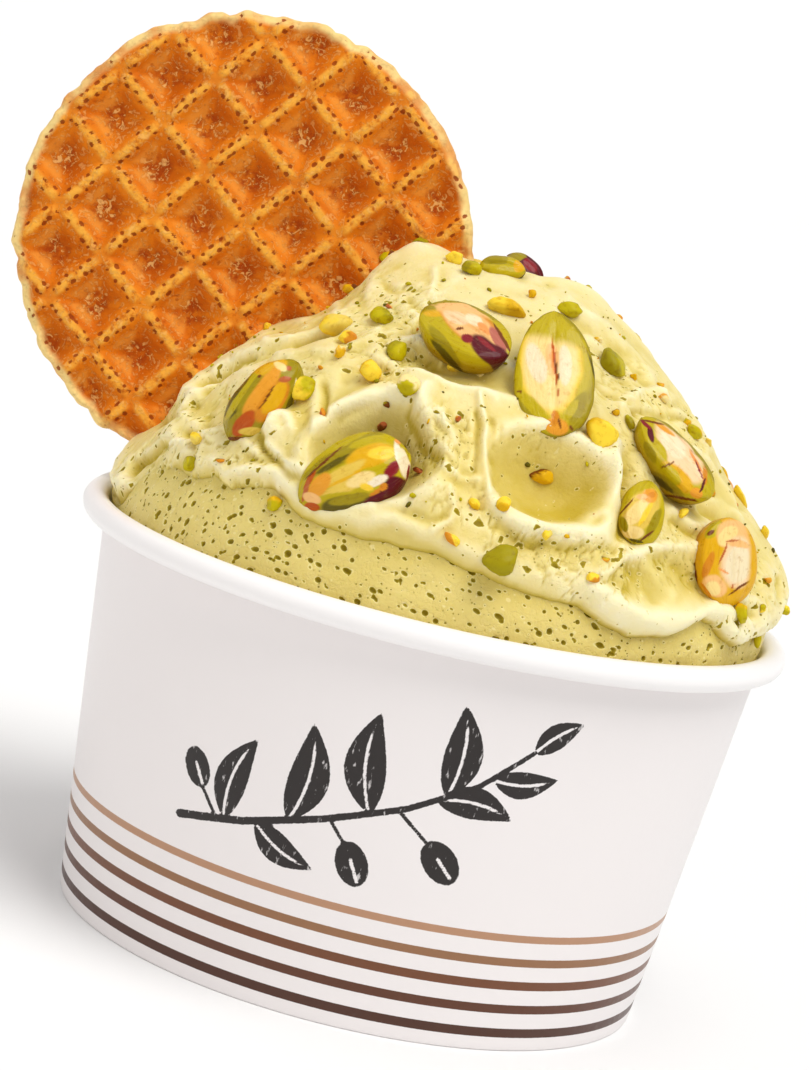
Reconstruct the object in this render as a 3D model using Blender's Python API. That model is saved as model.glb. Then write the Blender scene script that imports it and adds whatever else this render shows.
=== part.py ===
# A paper cup heaped with pistachio gelato, with a round waffle wafer and shelled pistachios.
# Units are metres and +Z is up. The cup stands on z = 0 and every length below is given in
# millimetres, turned to metres where the meshes are made.

import math

import bmesh
import bpy
import numpy as np
from mathutils import Matrix, Vector

MM = 0.001
AXIS_X = 8.8            # the cup's axis stands here, so that cup and wafer together are centred
GAP = 0.35              # air kept between neighbouring pieces

# Paper cup
CUP_SEGMENTS = 44
FOOT_RADIUS = 39.65     # outside of the wall at the foot
WALL_SLOPE = 0.1016     # growth of the radius for each millimetre of height
WALL_PAPER = 0.6
RIM_RADIUS = 46.3       # centre line of the rolled rim
RIM_HEIGHT = 52.0
RIM_TUBE = 1.7
RIM_CURL = (200.0, -130.0)   # where the rolled paper starts and ends, as angles round the tube
HEM_SLOT = 1.14         # slot in the foot that takes the skirt of the base
HEM_LEG = 0.5
HEM_HEIGHT = 7.0
BASE_HEIGHT = 8.4
BASE_PAPER = 0.5
BASE_GAP = 0.32

# Gelato: radii measured from a point on the axis inside the cup
HEART = 45.0
MOUND_RADIUS = 45.7
CROWN_LIFT = 3.0
FILL_GAP = 0.45         # between the gelato and the paper
BRIM_EL = 10.2          # elevation at which the gelato leaves the cup
BRIM_RADIUS = 44.95
LIP_BULGE = 1.7
LIP_SPREAD = 7.0
BAND_SETBACK = 0.5
LIP_HANG = 0.9
FILL_COLUMNS = 72
FRONT_DENSITY = 0.35    # how much closer the columns stand at the front
BAND_ROWS = 3
TOP_ROWS = 14

# Elevation of the lip under the smooth upper layer, by azimuth (front is -90)
LIP = [(-165, 17), (-151, 24), (-132, 22), (-123, 24), (-108, 21), (-90, 21.3), (-66, 17.5),
       (-55, 14.7), (-38, 17.4), (-26, 13.5), (-8, 17), (22, 15), (60, 20), (100, 17), (142, 21)]

# Swellings and dents of the mound: azimuth, elevation, height, half width, half height
SWELLINGS = {
    "right shoulder": (0, 18, 1.4, 17, 7),
    "right lump": (-3, 26, 1.0, 6, 4),
    "right neck": (8, 62, 0.5, 9, 5),
    "right waist": (4, 42, -0.9, 12, 7),
    "right cheek": (2, 77, 1.2, 10, 5),
    "left brim": (180, 13, 0.9, 14, 5),
    "left flank": (178, 24, -1.8, 12, 5),
    "left waist": (180, 46, -1.3, 15, 16),
    "left throat": (180, 58, -0.9, 9, 5),
    "knob": (172, 74, 2.6, 7.5, 5.5),
    "curl": (-128.5, 33.5, 1.7, 2.6, 2.4),
    "brow": (-80, 49, 0.9, 9, 4),
    "chin": (-100, 26, 0.7, 12, 4),
    "back shoulder": (100, 24, 1.5, 18, 8),
}

# Scoops left by the spatula: azimuth, elevation, half width, half height, depth, turn, rim
SCOOPS = {
    "left scoop": (-106.5, 34.5, 8.4, 7.2, 4.0, 12, 0.5),
    "right scoop": (-73, 37, 8.6, 6.8, 4.4, -14, 0.8),
    "swoosh": (-47, 23.5, 12.0, 4.2, 1.6, 6, 0.3),
    "left shelf": (-150, 33, 7.0, 6.0, 1.4, 30, 0.3),
    "upper shelf": (-98, 55, 10.0, 3.8, 1.8, -4, 0.3),
    "right shelf": (-28, 39, 8.0, 5.0, 1.3, -30, 0.3),
    "back scoop": (103, 41, 10.5, 7.5, 3.6, 10, 0.7),
    "back scoop low": (56, 33, 9.0, 6.5, 2.8, -15, 0.6),
    "back scoop high": (146, 47, 8.5, 7.0, 2.4, 20, 0.5),
}

# Ridges (raised) and grooves (sunk): height, half width, path as azimuth and elevation
FOLDS = {
    "saddle": (1.5, 2.6, [(-106, 49), (-97, 39), (-94, 30)]),
    "scoop arc": (0.9, 2.0, [(-119, 28), (-118, 37), (-112, 44), (-104, 46)]),
    "scoop rim": (1.3, 1.7, [(-58, 46), (-60.5, 36), (-67, 29.5), (-78, 28)]),
    "gutter": (-1.1, 2.0, [(-54, 43), (-57, 30)]),
    "left fold": (-1.4, 1.8, [(-162, 36), (-151, 47), (-143, 55)]),
    "left edge": (-1.3, 1.8, [(-148, 28), (-161, 18)]),
    "crown edge": (0.8, 1.8, [(-40, 83), (-5, 74), (5, 65)]),
    "back ridge": (1.4, 2.4, [(76, 54), (81, 40), (84, 27)]),
    "back fold": (-1.3, 2.0, [(22, 44), (42, 56), (74, 62)]),
    "far fold": (1.1, 2.2, [(120, 52), (127, 38), (124, 26)]),
}

# Wafer
WAFER_CENTRE = (-35.2, 6.0, 88.35)
WAFER_RADIUS = 30.15
WAFER_LEAN = 6.0        # leans back
WAFER_THICKNESS = 5.0
WAFER_EDGE = 2.6        # thickness at the rim
WAFER_BEVEL = 3.0
WAFER_SCALLOP = 0.28
WAFER_SEGMENTS = 44
WAFFLE_PITCH = 8.8
WAFFLE_TURN = -38.0
WAFFLE_SHIFT = (-1.7, 1.7)
WAFFLE_CELLS = 8
RIDGE_WIDTH = 1.3
POCKET_DEPTH = 1.7
POCKET_FLOOR = 2.6

# Pistachios: azimuth and elevation of the seat, lift over the gelato, direction that the face
# looks in (azimuth, elevation), turn of the long axis, length, width, height of the face,
# depth of the belly. A low face is a split kernel's flat side, a high one a whole kernel's.
NUTS = {
    "pistachio_01": (-134.5, 36.5, 1.2, -116, 24, 70, 12.6, 7.2, 3.2, 3.4),
    "pistachio_02": (-110.5, 30, 2.6, -99, 24, 40, 15.4, 8.4, 3.2, 4.0),
    "pistachio_03": (-99, 60, 2.4, -96, 56, -24, 12.9, 8.8, 1.0, 5.2),
    "pistachio_04": (-71.5, 56, 2.8, -90, 34, 101, 17.4, 9.9, 1.0, 5.2),
    "pistachio_05": (-40.5, 42, 1.8, -52, 48, -58, 13.2, 7.8, 0.9, 4.8),
    "pistachio_06": (-53.5, 34, 1.2, -64, 26, 76, 8.4, 5.6, 1.6, 2.8),
    "pistachio_07": (-34, 27, 2.0, -52, 14, 96, 11.2, 9.4, 1.1, 5.0),
    "pistachio_08": (-101, 84.0, 0.6, -96, 52, 14, 6.2, 3.6, 1.4, 1.9),
    "pistachio_09": (52, 86.5, 0.4, -70, 55, -44, 5.8, 4.0, 1.6, 2.0),
    "pistachio_10": (102, 36, 2.4, 98, 30, 35, 16.4, 9.4, 3.0, 4.2),
    "pistachio_11": (60, 50, 2.0, 66, 40, -50, 15.4, 9.0, 1.0, 4.8),
    "pistachio_12": (132, 31, 1.6, 124, 24, 70, 12.6, 7.8, 1.0, 4.2),
    "pistachio_13": (84, 66, 2.0, 88, 52, 12, 14.2, 8.4, 1.0, 4.8),
    "pistachio_14": (33, 27, 1.6, 40, 24, -70, 11.4, 8.0, 2.8, 3.4),
}
NUT_RINGS = 6
NUT_SIDES = 9
NUT_TAPER = 0.16        # one end is slimmer than the other
NUT_CUT_GROWTH = 0.45   # a nut's seat in the gelato is larger than the nut by this


def clear_scene():
    for thing in list(bpy.data.objects):
        bpy.data.objects.remove(thing, do_unlink=True)


def make_material(name, colour, roughness):
    material = bpy.data.materials.new(name)
    material.use_nodes = True
    shader = material.node_tree.nodes["Principled BSDF"]
    shader.inputs["Base Color"].default_value = (*colour, 1.0)
    shader.inputs["Roughness"].default_value = roughness
    shader.inputs["Metallic"].default_value = 0.0
    return material


def finish_object(name, mesh, material=None, sharp=40.0, cutter=False):
    thing = bpy.data.objects.new(name, mesh)
    thing.location = (AXIS_X * MM, 0.0, 0.0)
    bpy.context.scene.collection.objects.link(thing)
    if cutter:
        thing.hide_render = True
        thing.display_type = 'WIRE'
    else:
        mesh.materials.append(material)
        mesh.shade_smooth()
        mesh.set_sharp_from_angle(angle=math.radians(sharp))
    return thing


def mesh_from_rings(name, rings, bottom=None, top=None, loop=False):
    """Skins rings of points (rows, columns, xyz), closed round each ring."""
    rings = np.asarray(rings, float)
    rows, columns = rings.shape[:2]
    points = [tuple(p) for p in rings.reshape(-1, 3) * MM]
    faces = []
    for i in range(rows if loop else rows - 1):
        below = i * columns
        above = (i + 1) % rows * columns
        for j in range(columns):
            k = (j + 1) % columns
            faces.append((below + j, below + k, above + k, above + j))
    for pole, row, flip in ((bottom, 0, True), (top, rows - 1, False)):
        if pole is None:
            continue
        points.append(tuple(np.asarray(pole, float) * MM))
        for j in range(columns):
            k = (j + 1) % columns
            rim = (row * columns + j, row * columns + k)
            faces.append((*(rim[::-1] if flip else rim), len(points) - 1))
    mesh = bpy.data.meshes.new(name)
    mesh.from_pydata(points, [], faces)
    mesh.validate()
    fix = bmesh.new()
    fix.from_mesh(mesh)
    bmesh.ops.recalc_face_normals(fix, faces=fix.faces)
    fix.to_mesh(mesh)
    fix.free()
    return mesh


def turned(profile, segments):
    """Rings of a profile of (radius, height) points turned about the axis."""
    angle = np.linspace(0.0, 2.0 * np.pi, segments, endpoint=False)
    radius, height = np.array(profile, float).T
    rings = np.empty((len(radius), segments, 3))
    rings[..., 0] = radius[:, None] * np.cos(angle)
    rings[..., 1] = radius[:, None] * np.sin(angle)
    rings[..., 2] = height[:, None]
    return rings


def tube_arc(radius, start, end, count):
    """Points of the rolled rim's section, round the tube's centre."""
    return [(RIM_RADIUS + radius * math.cos(a), RIM_HEIGHT + radius * math.sin(a))
            for a in np.radians(np.linspace(start, end, count))]


def slanted(foot_radius, height):
    return (foot_radius + WALL_SLOPE * height, height)


def build_cup_wall(material):
    inner_foot = FOOT_RADIUS - WALL_PAPER
    leg_outer = inner_foot - HEM_SLOT
    start, end = RIM_CURL
    profile = [(FOOT_RADIUS, 0.0), slanted(FOOT_RADIUS, 50.4)]
    profile += tube_arc(RIM_TUBE - WALL_PAPER, start, end, 6)
    profile += tube_arc(RIM_TUBE, end, 180.0, 8)
    profile += [slanted(inner_foot, 49.5), slanted(inner_foot, WALL_PAPER)]
    profile += [slanted(leg_outer, WALL_PAPER), slanted(leg_outer, HEM_HEIGHT)]
    profile += [slanted(leg_outer - HEM_LEG, HEM_HEIGHT), (leg_outer - HEM_LEG, 0.0)]
    mesh = mesh_from_rings("cup_wall", turned(profile, CUP_SEGMENTS), loop=True)
    finish_object("cup_wall", mesh, material)


def build_cup_base(material):
    outer_foot = FOOT_RADIUS - WALL_PAPER - BASE_GAP
    inner_foot = outer_foot - BASE_PAPER
    low = WALL_PAPER + BASE_GAP
    profile = [slanted(inner_foot, BASE_HEIGHT - BASE_PAPER), slanted(inner_foot, low),
               slanted(outer_foot, low), slanted(outer_foot, BASE_HEIGHT)]
    mesh = mesh_from_rings("cup_base", turned(profile, CUP_SEGMENTS),
                           bottom=(0, 0, BASE_HEIGHT - BASE_PAPER), top=(0, 0, BASE_HEIGHT))
    finish_object("cup_base", mesh, material)


def direction(azimuth, elevation):
    """Unit vectors for angles in degrees."""
    azimuth = np.radians(azimuth)
    elevation = np.radians(elevation)
    flat = np.cos(elevation)
    return np.stack([flat * np.cos(azimuth), flat * np.sin(azimuth),
                     np.sin(elevation) + 0.0 * azimuth], axis=-1)


def tangent_offsets(rays, azimuth, elevation, turn=0.0):
    """Distances along and across a patch of the mound, in millimetres, turned in its plane."""
    centre = direction(azimuth, elevation)
    a = math.radians(azimuth)
    along = np.array([-math.sin(a), math.cos(a), 0.0])
    up = np.cross(centre, along)
    s = MOUND_RADIUS * rays @ along
    t = MOUND_RADIUS * rays @ up
    far = rays @ centre < 0.2
    c, d = math.cos(math.radians(turn)), math.sin(math.radians(turn))
    return np.where(far, 1e3, c * s + d * t), np.where(far, 1e3, c * t - d * s)


def path_distance(rays, path):
    """Distance in millimetres to a path laid over the mound."""
    points = MOUND_RADIUS * rays
    nearest = np.full(points.shape[:-1], 1e3)
    stops = [MOUND_RADIUS * direction(*stop) for stop in path]
    for first, last in zip(stops, stops[1:]):
        run = last - first
        share = np.clip((points - first) @ run / (run @ run), 0.0, 1.0)
        gap = np.linalg.norm(points - first - share[..., None] * run, axis=-1)
        nearest = np.minimum(nearest, gap)
    return nearest


def lip_elevation(azimuth):
    """Height of the lip round the mound, eased between the listed places."""
    places = sorted(LIP)
    stops = np.array([a for a, _ in places] + [places[0][0] + 360.0])
    levels = np.array([e for _, e in places] + [places[0][1]], float)
    angle = (azimuth - stops[0]) % 360.0 + stops[0]
    i = np.clip(np.searchsorted(stops, angle, side="right") - 1, 0, len(stops) - 2)
    share = (angle - stops[i]) / (stops[i + 1] - stops[i])
    share = share * share * (3.0 - 2.0 * share)
    return levels[i] + share * (levels[i + 1] - levels[i])


def mound_radius(azimuth, elevation, upper=True):
    """Distance of the gelato's surface from its heart, for the upper layer or the band."""
    rays = direction(azimuth, elevation)
    crown = np.clip((elevation - 60.0) / 20.0, 0.0, 1.0)
    radius = MOUND_RADIUS + CROWN_LIFT * crown * crown * (3.0 - 2.0 * crown)
    for az, el, height, wide, high in SWELLINGS.values():
        s, t = tangent_offsets(rays, az, el)
        radius = radius + height * np.exp(-(s / wide) ** 2 - (t / high) ** 2)
    for az, el, wide, high, depth, turn, rim in SCOOPS.values():
        s, t = tangent_offsets(rays, az, el, turn)
        q = np.hypot(s / wide, t / high)
        radius = radius - depth * np.clip(1.0 - q * q, 0.0, 1.0) ** 1.1
        radius = radius + rim * np.exp(-((q - 1.08) / 0.16) ** 2)
    for height, wide, path in FOLDS.values():
        radius = radius + height * np.exp(-(path_distance(rays, path) / wide) ** 2)
    above = elevation - lip_elevation(azimuth)
    if upper:
        return radius + LIP_BULGE * np.exp(-(above / LIP_SPREAD) ** 2)
    share = np.clip((elevation - BRIM_EL) / 4.0, 0.0, 1.0)
    return BRIM_RADIUS + share * (radius - BAND_SETBACK - BRIM_RADIUS)


def clear_of_rim(points):
    """Pushes points off the rolled rim where they come too close to it."""
    out = np.hypot(points[..., 0], points[..., 1])
    r = out - RIM_RADIUS
    z = points[..., 2] - RIM_HEIGHT
    reach = np.hypot(r, z)
    push = np.maximum(1.0, (RIM_TUBE + FILL_GAP) / np.maximum(reach, 1e-6))
    new_out = RIM_RADIUS + r * push
    result = points.copy()
    result[..., 0] *= new_out / out
    result[..., 1] *= new_out / out
    result[..., 2] = RIM_HEIGHT + z * push
    return result


def mound_points(azimuth, elevation, upper=True):
    radius = mound_radius(azimuth, elevation, upper)
    points = radius[..., None] * direction(azimuth, elevation)
    points[..., 2] += HEART
    return points


def build_gelato(material, cutters):
    step = np.linspace(0.0, 360.0, FILL_COLUMNS, endpoint=False)
    azimuth = step - math.degrees(FRONT_DENSITY) * np.sin(np.radians(step + 90.0))
    lip = lip_elevation(azimuth)
    wall_foot = FOOT_RADIUS - WALL_PAPER - FILL_GAP
    low = BASE_HEIGHT + FILL_GAP
    angle = np.radians(azimuth)
    rings = []
    for radius, height in (slanted(wall_foot, low), slanted(wall_foot, 49.0)):
        rings.append(np.stack([radius * np.cos(angle), radius * np.sin(angle),
                               np.full(len(angle), height)], axis=-1))
    for share in np.linspace(0.0, 1.0, BAND_ROWS + 1):
        rings.append(mound_points(azimuth, BRIM_EL + share * (lip - BRIM_EL), upper=False))
    start = lip - LIP_HANG
    for share in np.linspace(0.0, 1.0, TOP_ROWS + 1)[:-1]:
        eased = share ** 1.15
        rings.append(mound_points(azimuth, start + eased * (90.0 - start)))
    rings = clear_of_rim(np.array(rings))
    peak = mound_points(np.array([0.0]), np.array([90.0]))[0]
    mesh = mesh_from_rings("gelato", rings, bottom=(0, 0, low), top=peak)
    gelato = finish_object("gelato", mesh, material, sharp=50.0)
    for cutter in cutters:
        cut = gelato.modifiers.new(cutter.name, 'BOOLEAN')
        cut.operation = 'DIFFERENCE'
        cut.solver = 'EXACT'
        cut.object = cutter


def nut_mesh(name, seat, grown=0.0):
    """A kernel: rings along its length, with a face on one side and a belly on the other."""
    az, el, lift, face_az, face_el, turn, length, width, face, belly = seat
    normal = direction(face_az, face_el)
    level = np.array([-math.sin(math.radians(face_az)), math.cos(math.radians(face_az)), 0.0])
    rise = np.cross(normal, level)
    a = math.radians(turn)
    along = math.cos(a) * level + math.sin(a) * rise
    across = np.cross(normal, along)
    centre = mound_points(np.array([float(az)]), np.array([float(el)]))[0] + lift * normal
    half = length / 2.0 + grown
    u = np.sin(np.radians(np.linspace(-90.0, 90.0, NUT_RINGS + 2)[1:-1]))[:, None]
    swell = (1.0 - np.abs(u) ** 2.3) ** 0.62 * (1.0 - NUT_TAPER * u)
    v = np.linspace(0.0, 2.0 * np.pi, NUT_SIDES, endpoint=False) + 0.5 * np.pi
    wide = (width / 2.0 + grown) * swell * np.cos(v)
    flat = 0.55 if face < 1.5 else 1.0
    high = np.where(np.sin(v) > 0.0, (face + grown) * np.abs(np.sin(v)) ** flat,
                    -(belly + grown) * np.abs(np.sin(v)))
    high = high * swell
    rings = (centre + (half * u)[..., None] * along + wide[..., None] * across
             + high[..., None] * normal)
    return mesh_from_rings(name, rings, bottom=centre - half * along, top=centre + half * along)


def wafer_frame():
    """Takes the wafer's own plane (x right, y up, z towards the front) into the cup's frame."""
    lean = Matrix.Rotation(math.radians(90.0 - WAFER_LEAN), 4, 'X')
    return Matrix.Translation(Vector(WAFER_CENTRE) * MM) @ lean


def wafer_blank(name, grown=0.0):
    """The disc that the wafer is baked in: thick in the middle, thinner at a scalloped rim."""
    angle = np.linspace(0.0, 2.0 * np.pi, WAFER_SEGMENTS, endpoint=False)
    ripple = WAFER_SCALLOP * np.cos(WAFER_SEGMENTS / 2 * angle)
    half = WAFER_THICKNESS / 2.0 + grown
    edge = WAFER_EDGE / 2.0 + grown
    rings = []
    for inset, z in ((WAFER_BEVEL, -half), (0.0, -edge), (0.0, edge), (WAFER_BEVEL, half)):
        radius = WAFER_RADIUS + grown - inset + ripple * (inset == 0.0)
        rings.append(np.stack([radius * np.cos(angle), radius * np.sin(angle),
                               np.full(len(angle), z)], axis=-1))
    mesh = mesh_from_rings(name, rings, bottom=(0, 0, -half), top=(0, 0, half))
    mesh.transform(wafer_frame())
    return mesh


def build_wafer(material):
    """A slab with a grid of pockets on both sides, cut to the blank's outline."""
    half = WAFER_THICKNESS / 2.0
    side = WAFFLE_CELLS * WAFFLE_PITCH
    slab = bmesh.new()
    bmesh.ops.create_grid(slab, x_segments=WAFFLE_CELLS, y_segments=WAFFLE_CELLS,
                          size=side / 2.0)
    top = slab.faces[:]
    grown = bmesh.ops.extrude_face_region(slab, geom=top, use_keep_orig=True)
    bottom = [f for f in grown["geom"] if isinstance(f, bmesh.types.BMFace)]
    for vertex in {v for face in top for v in face.verts}:
        vertex.co.z = half + 0.2
    for vertex in {v for face in bottom for v in face.verts}:
        vertex.co.z = -half - 0.2
    bmesh.ops.recalc_face_normals(slab, faces=slab.faces)
    cells = [f for f in slab.faces if abs(f.normal.z) > 0.5]
    bmesh.ops.inset_individual(slab, faces=cells, thickness=RIDGE_WIDTH / 2.0, depth=0.0)
    slope = (WAFFLE_PITCH - RIDGE_WIDTH - POCKET_FLOOR) / 2.0
    bmesh.ops.inset_individual(slab, faces=cells, thickness=slope, depth=-POCKET_DEPTH - 0.2)
    shift = Matrix.Translation((WAFFLE_SHIFT[0], WAFFLE_SHIFT[1], 0.0))
    turn = Matrix.Rotation(math.radians(WAFFLE_TURN), 4, 'Z')
    bmesh.ops.transform(slab, matrix=Matrix.Scale(MM, 4) @ turn @ shift, verts=slab.verts)
    mesh = bpy.data.meshes.new("wafer")
    slab.to_mesh(mesh)
    slab.free()
    mesh.transform(wafer_frame())
    wafer = finish_object("wafer", mesh, material, sharp=25.0)
    blank = finish_object("wafer_outline", wafer_blank("wafer_outline"), cutter=True)
    cut = wafer.modifiers.new("outline", 'BOOLEAN')
    cut.operation = 'INTERSECT'
    cut.solver = 'EXACT'
    cut.object = blank


clear_scene()
paper = make_material("cup_paper", (0.86, 0.84, 0.86), 0.35)
cream = make_material("pistachio_gelato", (0.72, 0.67, 0.36), 0.45)
baked = make_material("baked_wafer", (0.62, 0.27, 0.06), 0.55)
build_cup_wall(paper)
build_cup_base(make_material("base_paper", (0.84, 0.82, 0.84), 0.4))
build_wafer(baked)
seats = [finish_object("wafer_slot", wafer_blank("wafer_slot", GAP), cutter=True)]
for nut_name, nut_seat in NUTS.items():
    green = make_material(nut_name + "_kernel", (0.42, 0.38, 0.06), 0.4)
    finish_object(nut_name, nut_mesh(nut_name, nut_seat), green, sharp=60.0)
    seat_name = nut_name + "_seat"
    seat_mesh = nut_mesh(seat_name, nut_seat, NUT_CUT_GROWTH)
    seats.append(finish_object(seat_name, seat_mesh, cutter=True))
build_gelato(cream, seats)
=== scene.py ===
import bpy
import numpy as np
from mathutils import Matrix, Vector


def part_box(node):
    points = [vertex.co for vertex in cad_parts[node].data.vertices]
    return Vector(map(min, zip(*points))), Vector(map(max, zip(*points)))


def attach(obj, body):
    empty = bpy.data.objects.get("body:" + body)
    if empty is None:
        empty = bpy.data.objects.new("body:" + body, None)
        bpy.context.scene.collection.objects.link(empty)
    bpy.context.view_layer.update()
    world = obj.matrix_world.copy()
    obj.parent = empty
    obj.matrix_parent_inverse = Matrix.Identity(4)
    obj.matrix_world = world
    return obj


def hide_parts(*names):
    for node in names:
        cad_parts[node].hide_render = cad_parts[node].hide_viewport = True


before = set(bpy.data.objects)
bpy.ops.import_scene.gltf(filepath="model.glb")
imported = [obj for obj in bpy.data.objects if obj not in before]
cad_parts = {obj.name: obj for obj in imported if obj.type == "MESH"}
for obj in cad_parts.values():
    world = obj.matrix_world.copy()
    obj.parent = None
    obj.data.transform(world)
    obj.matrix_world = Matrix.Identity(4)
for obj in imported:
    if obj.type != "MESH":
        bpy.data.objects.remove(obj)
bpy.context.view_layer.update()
mm = 0.001
baseLow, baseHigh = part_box("cup_base")
cupAxis = np.array([(baseLow.x + baseHigh.x) / 2.0, 0.0, 0.0])   # all shapes below are in mm about this axis


# ---- small tools: meshes, attributes, noise ----

def buildMesh(name, points, quads, tris=None, material=None, attributes=None, smooth=True):
    # points in millimetres about the cup's axis, faces as index arrays
    tris = np.zeros((0, 3), int) if tris is None else np.asarray(tris)
    quads = np.asarray(quads).reshape(-1, 4)
    mesh = bpy.data.meshes.new(name)
    mesh.vertices.add(len(points))
    mesh.vertices.foreach_set("co", (np.asarray(points) * mm + cupAxis).astype(np.float32).ravel())
    corners = np.concatenate([quads.ravel(), tris.ravel()]).astype(np.int32)
    starts = np.concatenate([np.arange(len(quads)) * 4, len(quads) * 4 + np.arange(len(tris)) * 3])
    mesh.loops.add(len(corners))
    mesh.loops.foreach_set("vertex_index", corners)
    mesh.polygons.add(len(starts))
    mesh.polygons.foreach_set("loop_start", starts.astype(np.int32))
    mesh.polygons.foreach_set("use_smooth", np.full(len(starts), smooth))
    mesh.update(calc_edges=True)
    mesh.validate()
    for label, values in (attributes or {}).items():
        values = np.asarray(values, np.float32)
        kind = "FLOAT" if values.ndim == 1 else "FLOAT_COLOR"
        layer = mesh.attributes.new(label, kind, "POINT")
        layer.data.foreach_set("value" if values.ndim == 1 else "color", values.ravel())
    thing = bpy.data.objects.new(name, mesh)
    bpy.context.scene.collection.objects.link(thing)
    if material:
        mesh.materials.append(material)
    return thing


def gridFaces(rows, columns):
    # quads of a grid of rows and columns, closed round each row
    i = np.arange(rows - 1)[:, None]
    j = np.arange(columns)[None, :]
    k = (j + 1) % columns
    return np.stack([i * columns + j, i * columns + k, (i + 1) * columns + k, (i + 1) * columns + j],
                    axis=-1).reshape(-1, 4)


def fan(ring, pole, flip=False):
    # triangles from a ring of indices to one pole
    following = np.roll(ring, -1)
    first, second = (following, ring) if flip else (ring, following)
    return np.stack([first, second, np.full(len(ring), pole)], axis=-1)


def endFans(rows, columns):
    # triangles that close a grid's first and last row to the two poles listed after it
    ring = np.arange(columns)
    return np.concatenate([fan(ring, rows * columns, flip=True),
                           fan(ring + (rows - 1) * columns, rows * columns + 1)])


def bandQuads(rings):
    # quads between neighbouring rings of indices, one ring a row
    i, j = rings[:-1], rings[1:]
    return np.stack([j, np.roll(j, -1, 1), np.roll(i, -1, 1), i], axis=-1).reshape(-1, 4)


def discGrid(count):
    # a square grid eased onto a round disc with even cells: distance from the middle and angle
    a, b = np.meshgrid(np.linspace(-1.0, 1.0, count), np.linspace(-1.0, 1.0, count))
    wide = np.abs(a) > np.abs(b)
    big = np.where(wide, a, b)
    big = np.where(np.abs(big) < 1e-9, 1e-9, big)
    angle = np.where(wide, 45.0 * b / big, 90.0 - 45.0 * a / big) + np.where(big < 0.0, 180.0, 0.0)
    return np.abs(big), angle


def discQuads(count):
    # the quads of that grid, and its outside indices in order, counter-clockwise
    grid = np.arange(count * count).reshape(count, count)
    quads = np.stack([grid[:-1, :-1], grid[:-1, 1:], grid[1:, 1:], grid[1:, :-1]], axis=-1).reshape(-1, 4)
    return quads, np.concatenate([grid[0, :-1], grid[:-1, -1], grid[-1, :0:-1], grid[:0:-1, 0]])


def turnedOffsets(x, z, x0, z0, turn):
    # distances in mm along and across an axis through one place, turned by degrees
    c, d = np.cos(np.radians(turn)), np.sin(np.radians(turn))
    return (x - x0) * c + (z - z0) * d, (z - z0) * c - (x - x0) * d


def runOffset(x, z, first, last):
    # how far along a straight run a place stands, from 0 to 1, and its distance to the run in mm
    x0, z0, x1, z1 = *first[:2], *last[:2]
    share = np.clip(((x - x0) * (x1 - x0) + (z - z0) * (z1 - z0)) / ((x1 - x0) ** 2 + (z1 - z0) ** 2), 0.0, 1.0)
    return share, np.hypot(x - x0 - share * (x1 - x0), z - z0 - share * (z1 - z0))


def latticeNoise(points, seed):
    # smooth noise from -1 to 1: random values at whole-number places, eased between them
    table = np.random.default_rng(seed).uniform(-1.0, 1.0, (32, 32, 32))
    base = np.floor(points).astype(int)
    part = points - base
    part = part * part * (3.0 - 2.0 * part)
    total = 0.0
    for corner in range(8):
        step = np.array([corner & 1, corner >> 1 & 1, corner >> 2 & 1])
        cell = (base + step) % 32
        weight = np.prod(np.where(step, part, 1.0 - part), axis=-1)
        total = total + weight * table[cell[..., 0], cell[..., 1], cell[..., 2]]
    return total


def layeredNoise(points, size, layers, seed):
    # noise of the given grain size in mm, with finer layers at half the height each
    return sum(latticeNoise(points / size * 2.0 ** n + 7.3 * n, seed + n) * 0.5 ** n for n in range(layers))


def bubblePits(points, cell, keep, smallest, largest, seed, axis=None, stretch=1.0, share=1.0):
    # round pits, one at most in each cell of space, drawn out along axis and made smaller where share is low:
    # their depth in mm, and a field that is 1 in a pit's middle, 0 at its edge and falls to -1 outside
    rng = np.random.default_rng(seed)
    place = rng.uniform(0.15, 0.85, (24, 24, 24, 3))
    size = smallest + (largest - smallest) * rng.uniform(0, 1, (24, 24, 24)) ** 2.0
    size = np.where(rng.uniform(0, 1, (24, 24, 24)) < keep, size, 0.0)
    drawn = rng.uniform(0, 1, (24, 24, 24))
    home = np.floor(points / cell).astype(int)
    depth, field = np.zeros(points.shape[:-1]), np.full(points.shape[:-1], -1.0)
    for step in np.ndindex(3, 3, 3):
        at = home + np.array(step) - 1
        key = at % 24
        radius = size[key[..., 0], key[..., 1], key[..., 2]] * share
        away = points - (at + place[key[..., 0], key[..., 1], key[..., 2]]) * cell
        reach = (away ** 2).sum(-1)
        if axis is not None:
            longer = 1.0 + (stretch - 1.0) * drawn[key[..., 0], key[..., 1], key[..., 2]]
            reach = reach + (1.0 / longer ** 2 - 1.0) * (away * axis).sum(-1) ** 2
        depth = np.maximum(depth, np.sqrt(np.clip(radius ** 2 - reach, 0.0, None)))
        field = np.maximum(field, 1.0 - reach / np.maximum(radius, 0.04) ** 2)
    return depth, field


def deepest(*pits):
    # several sets of pits as one
    return tuple(np.max([pit[k] for pit in pits], axis=0) for k in (0, 1))


def ease(value, low, high):
    # 0 at low, 1 at high, smooth in between: 3t^2 - 2t^3
    share = np.clip((value - low) / (high - low), 0.0, 1.0)
    return share * share * (3.0 - 2.0 * share)


# ---- small tools: materials ----

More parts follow.
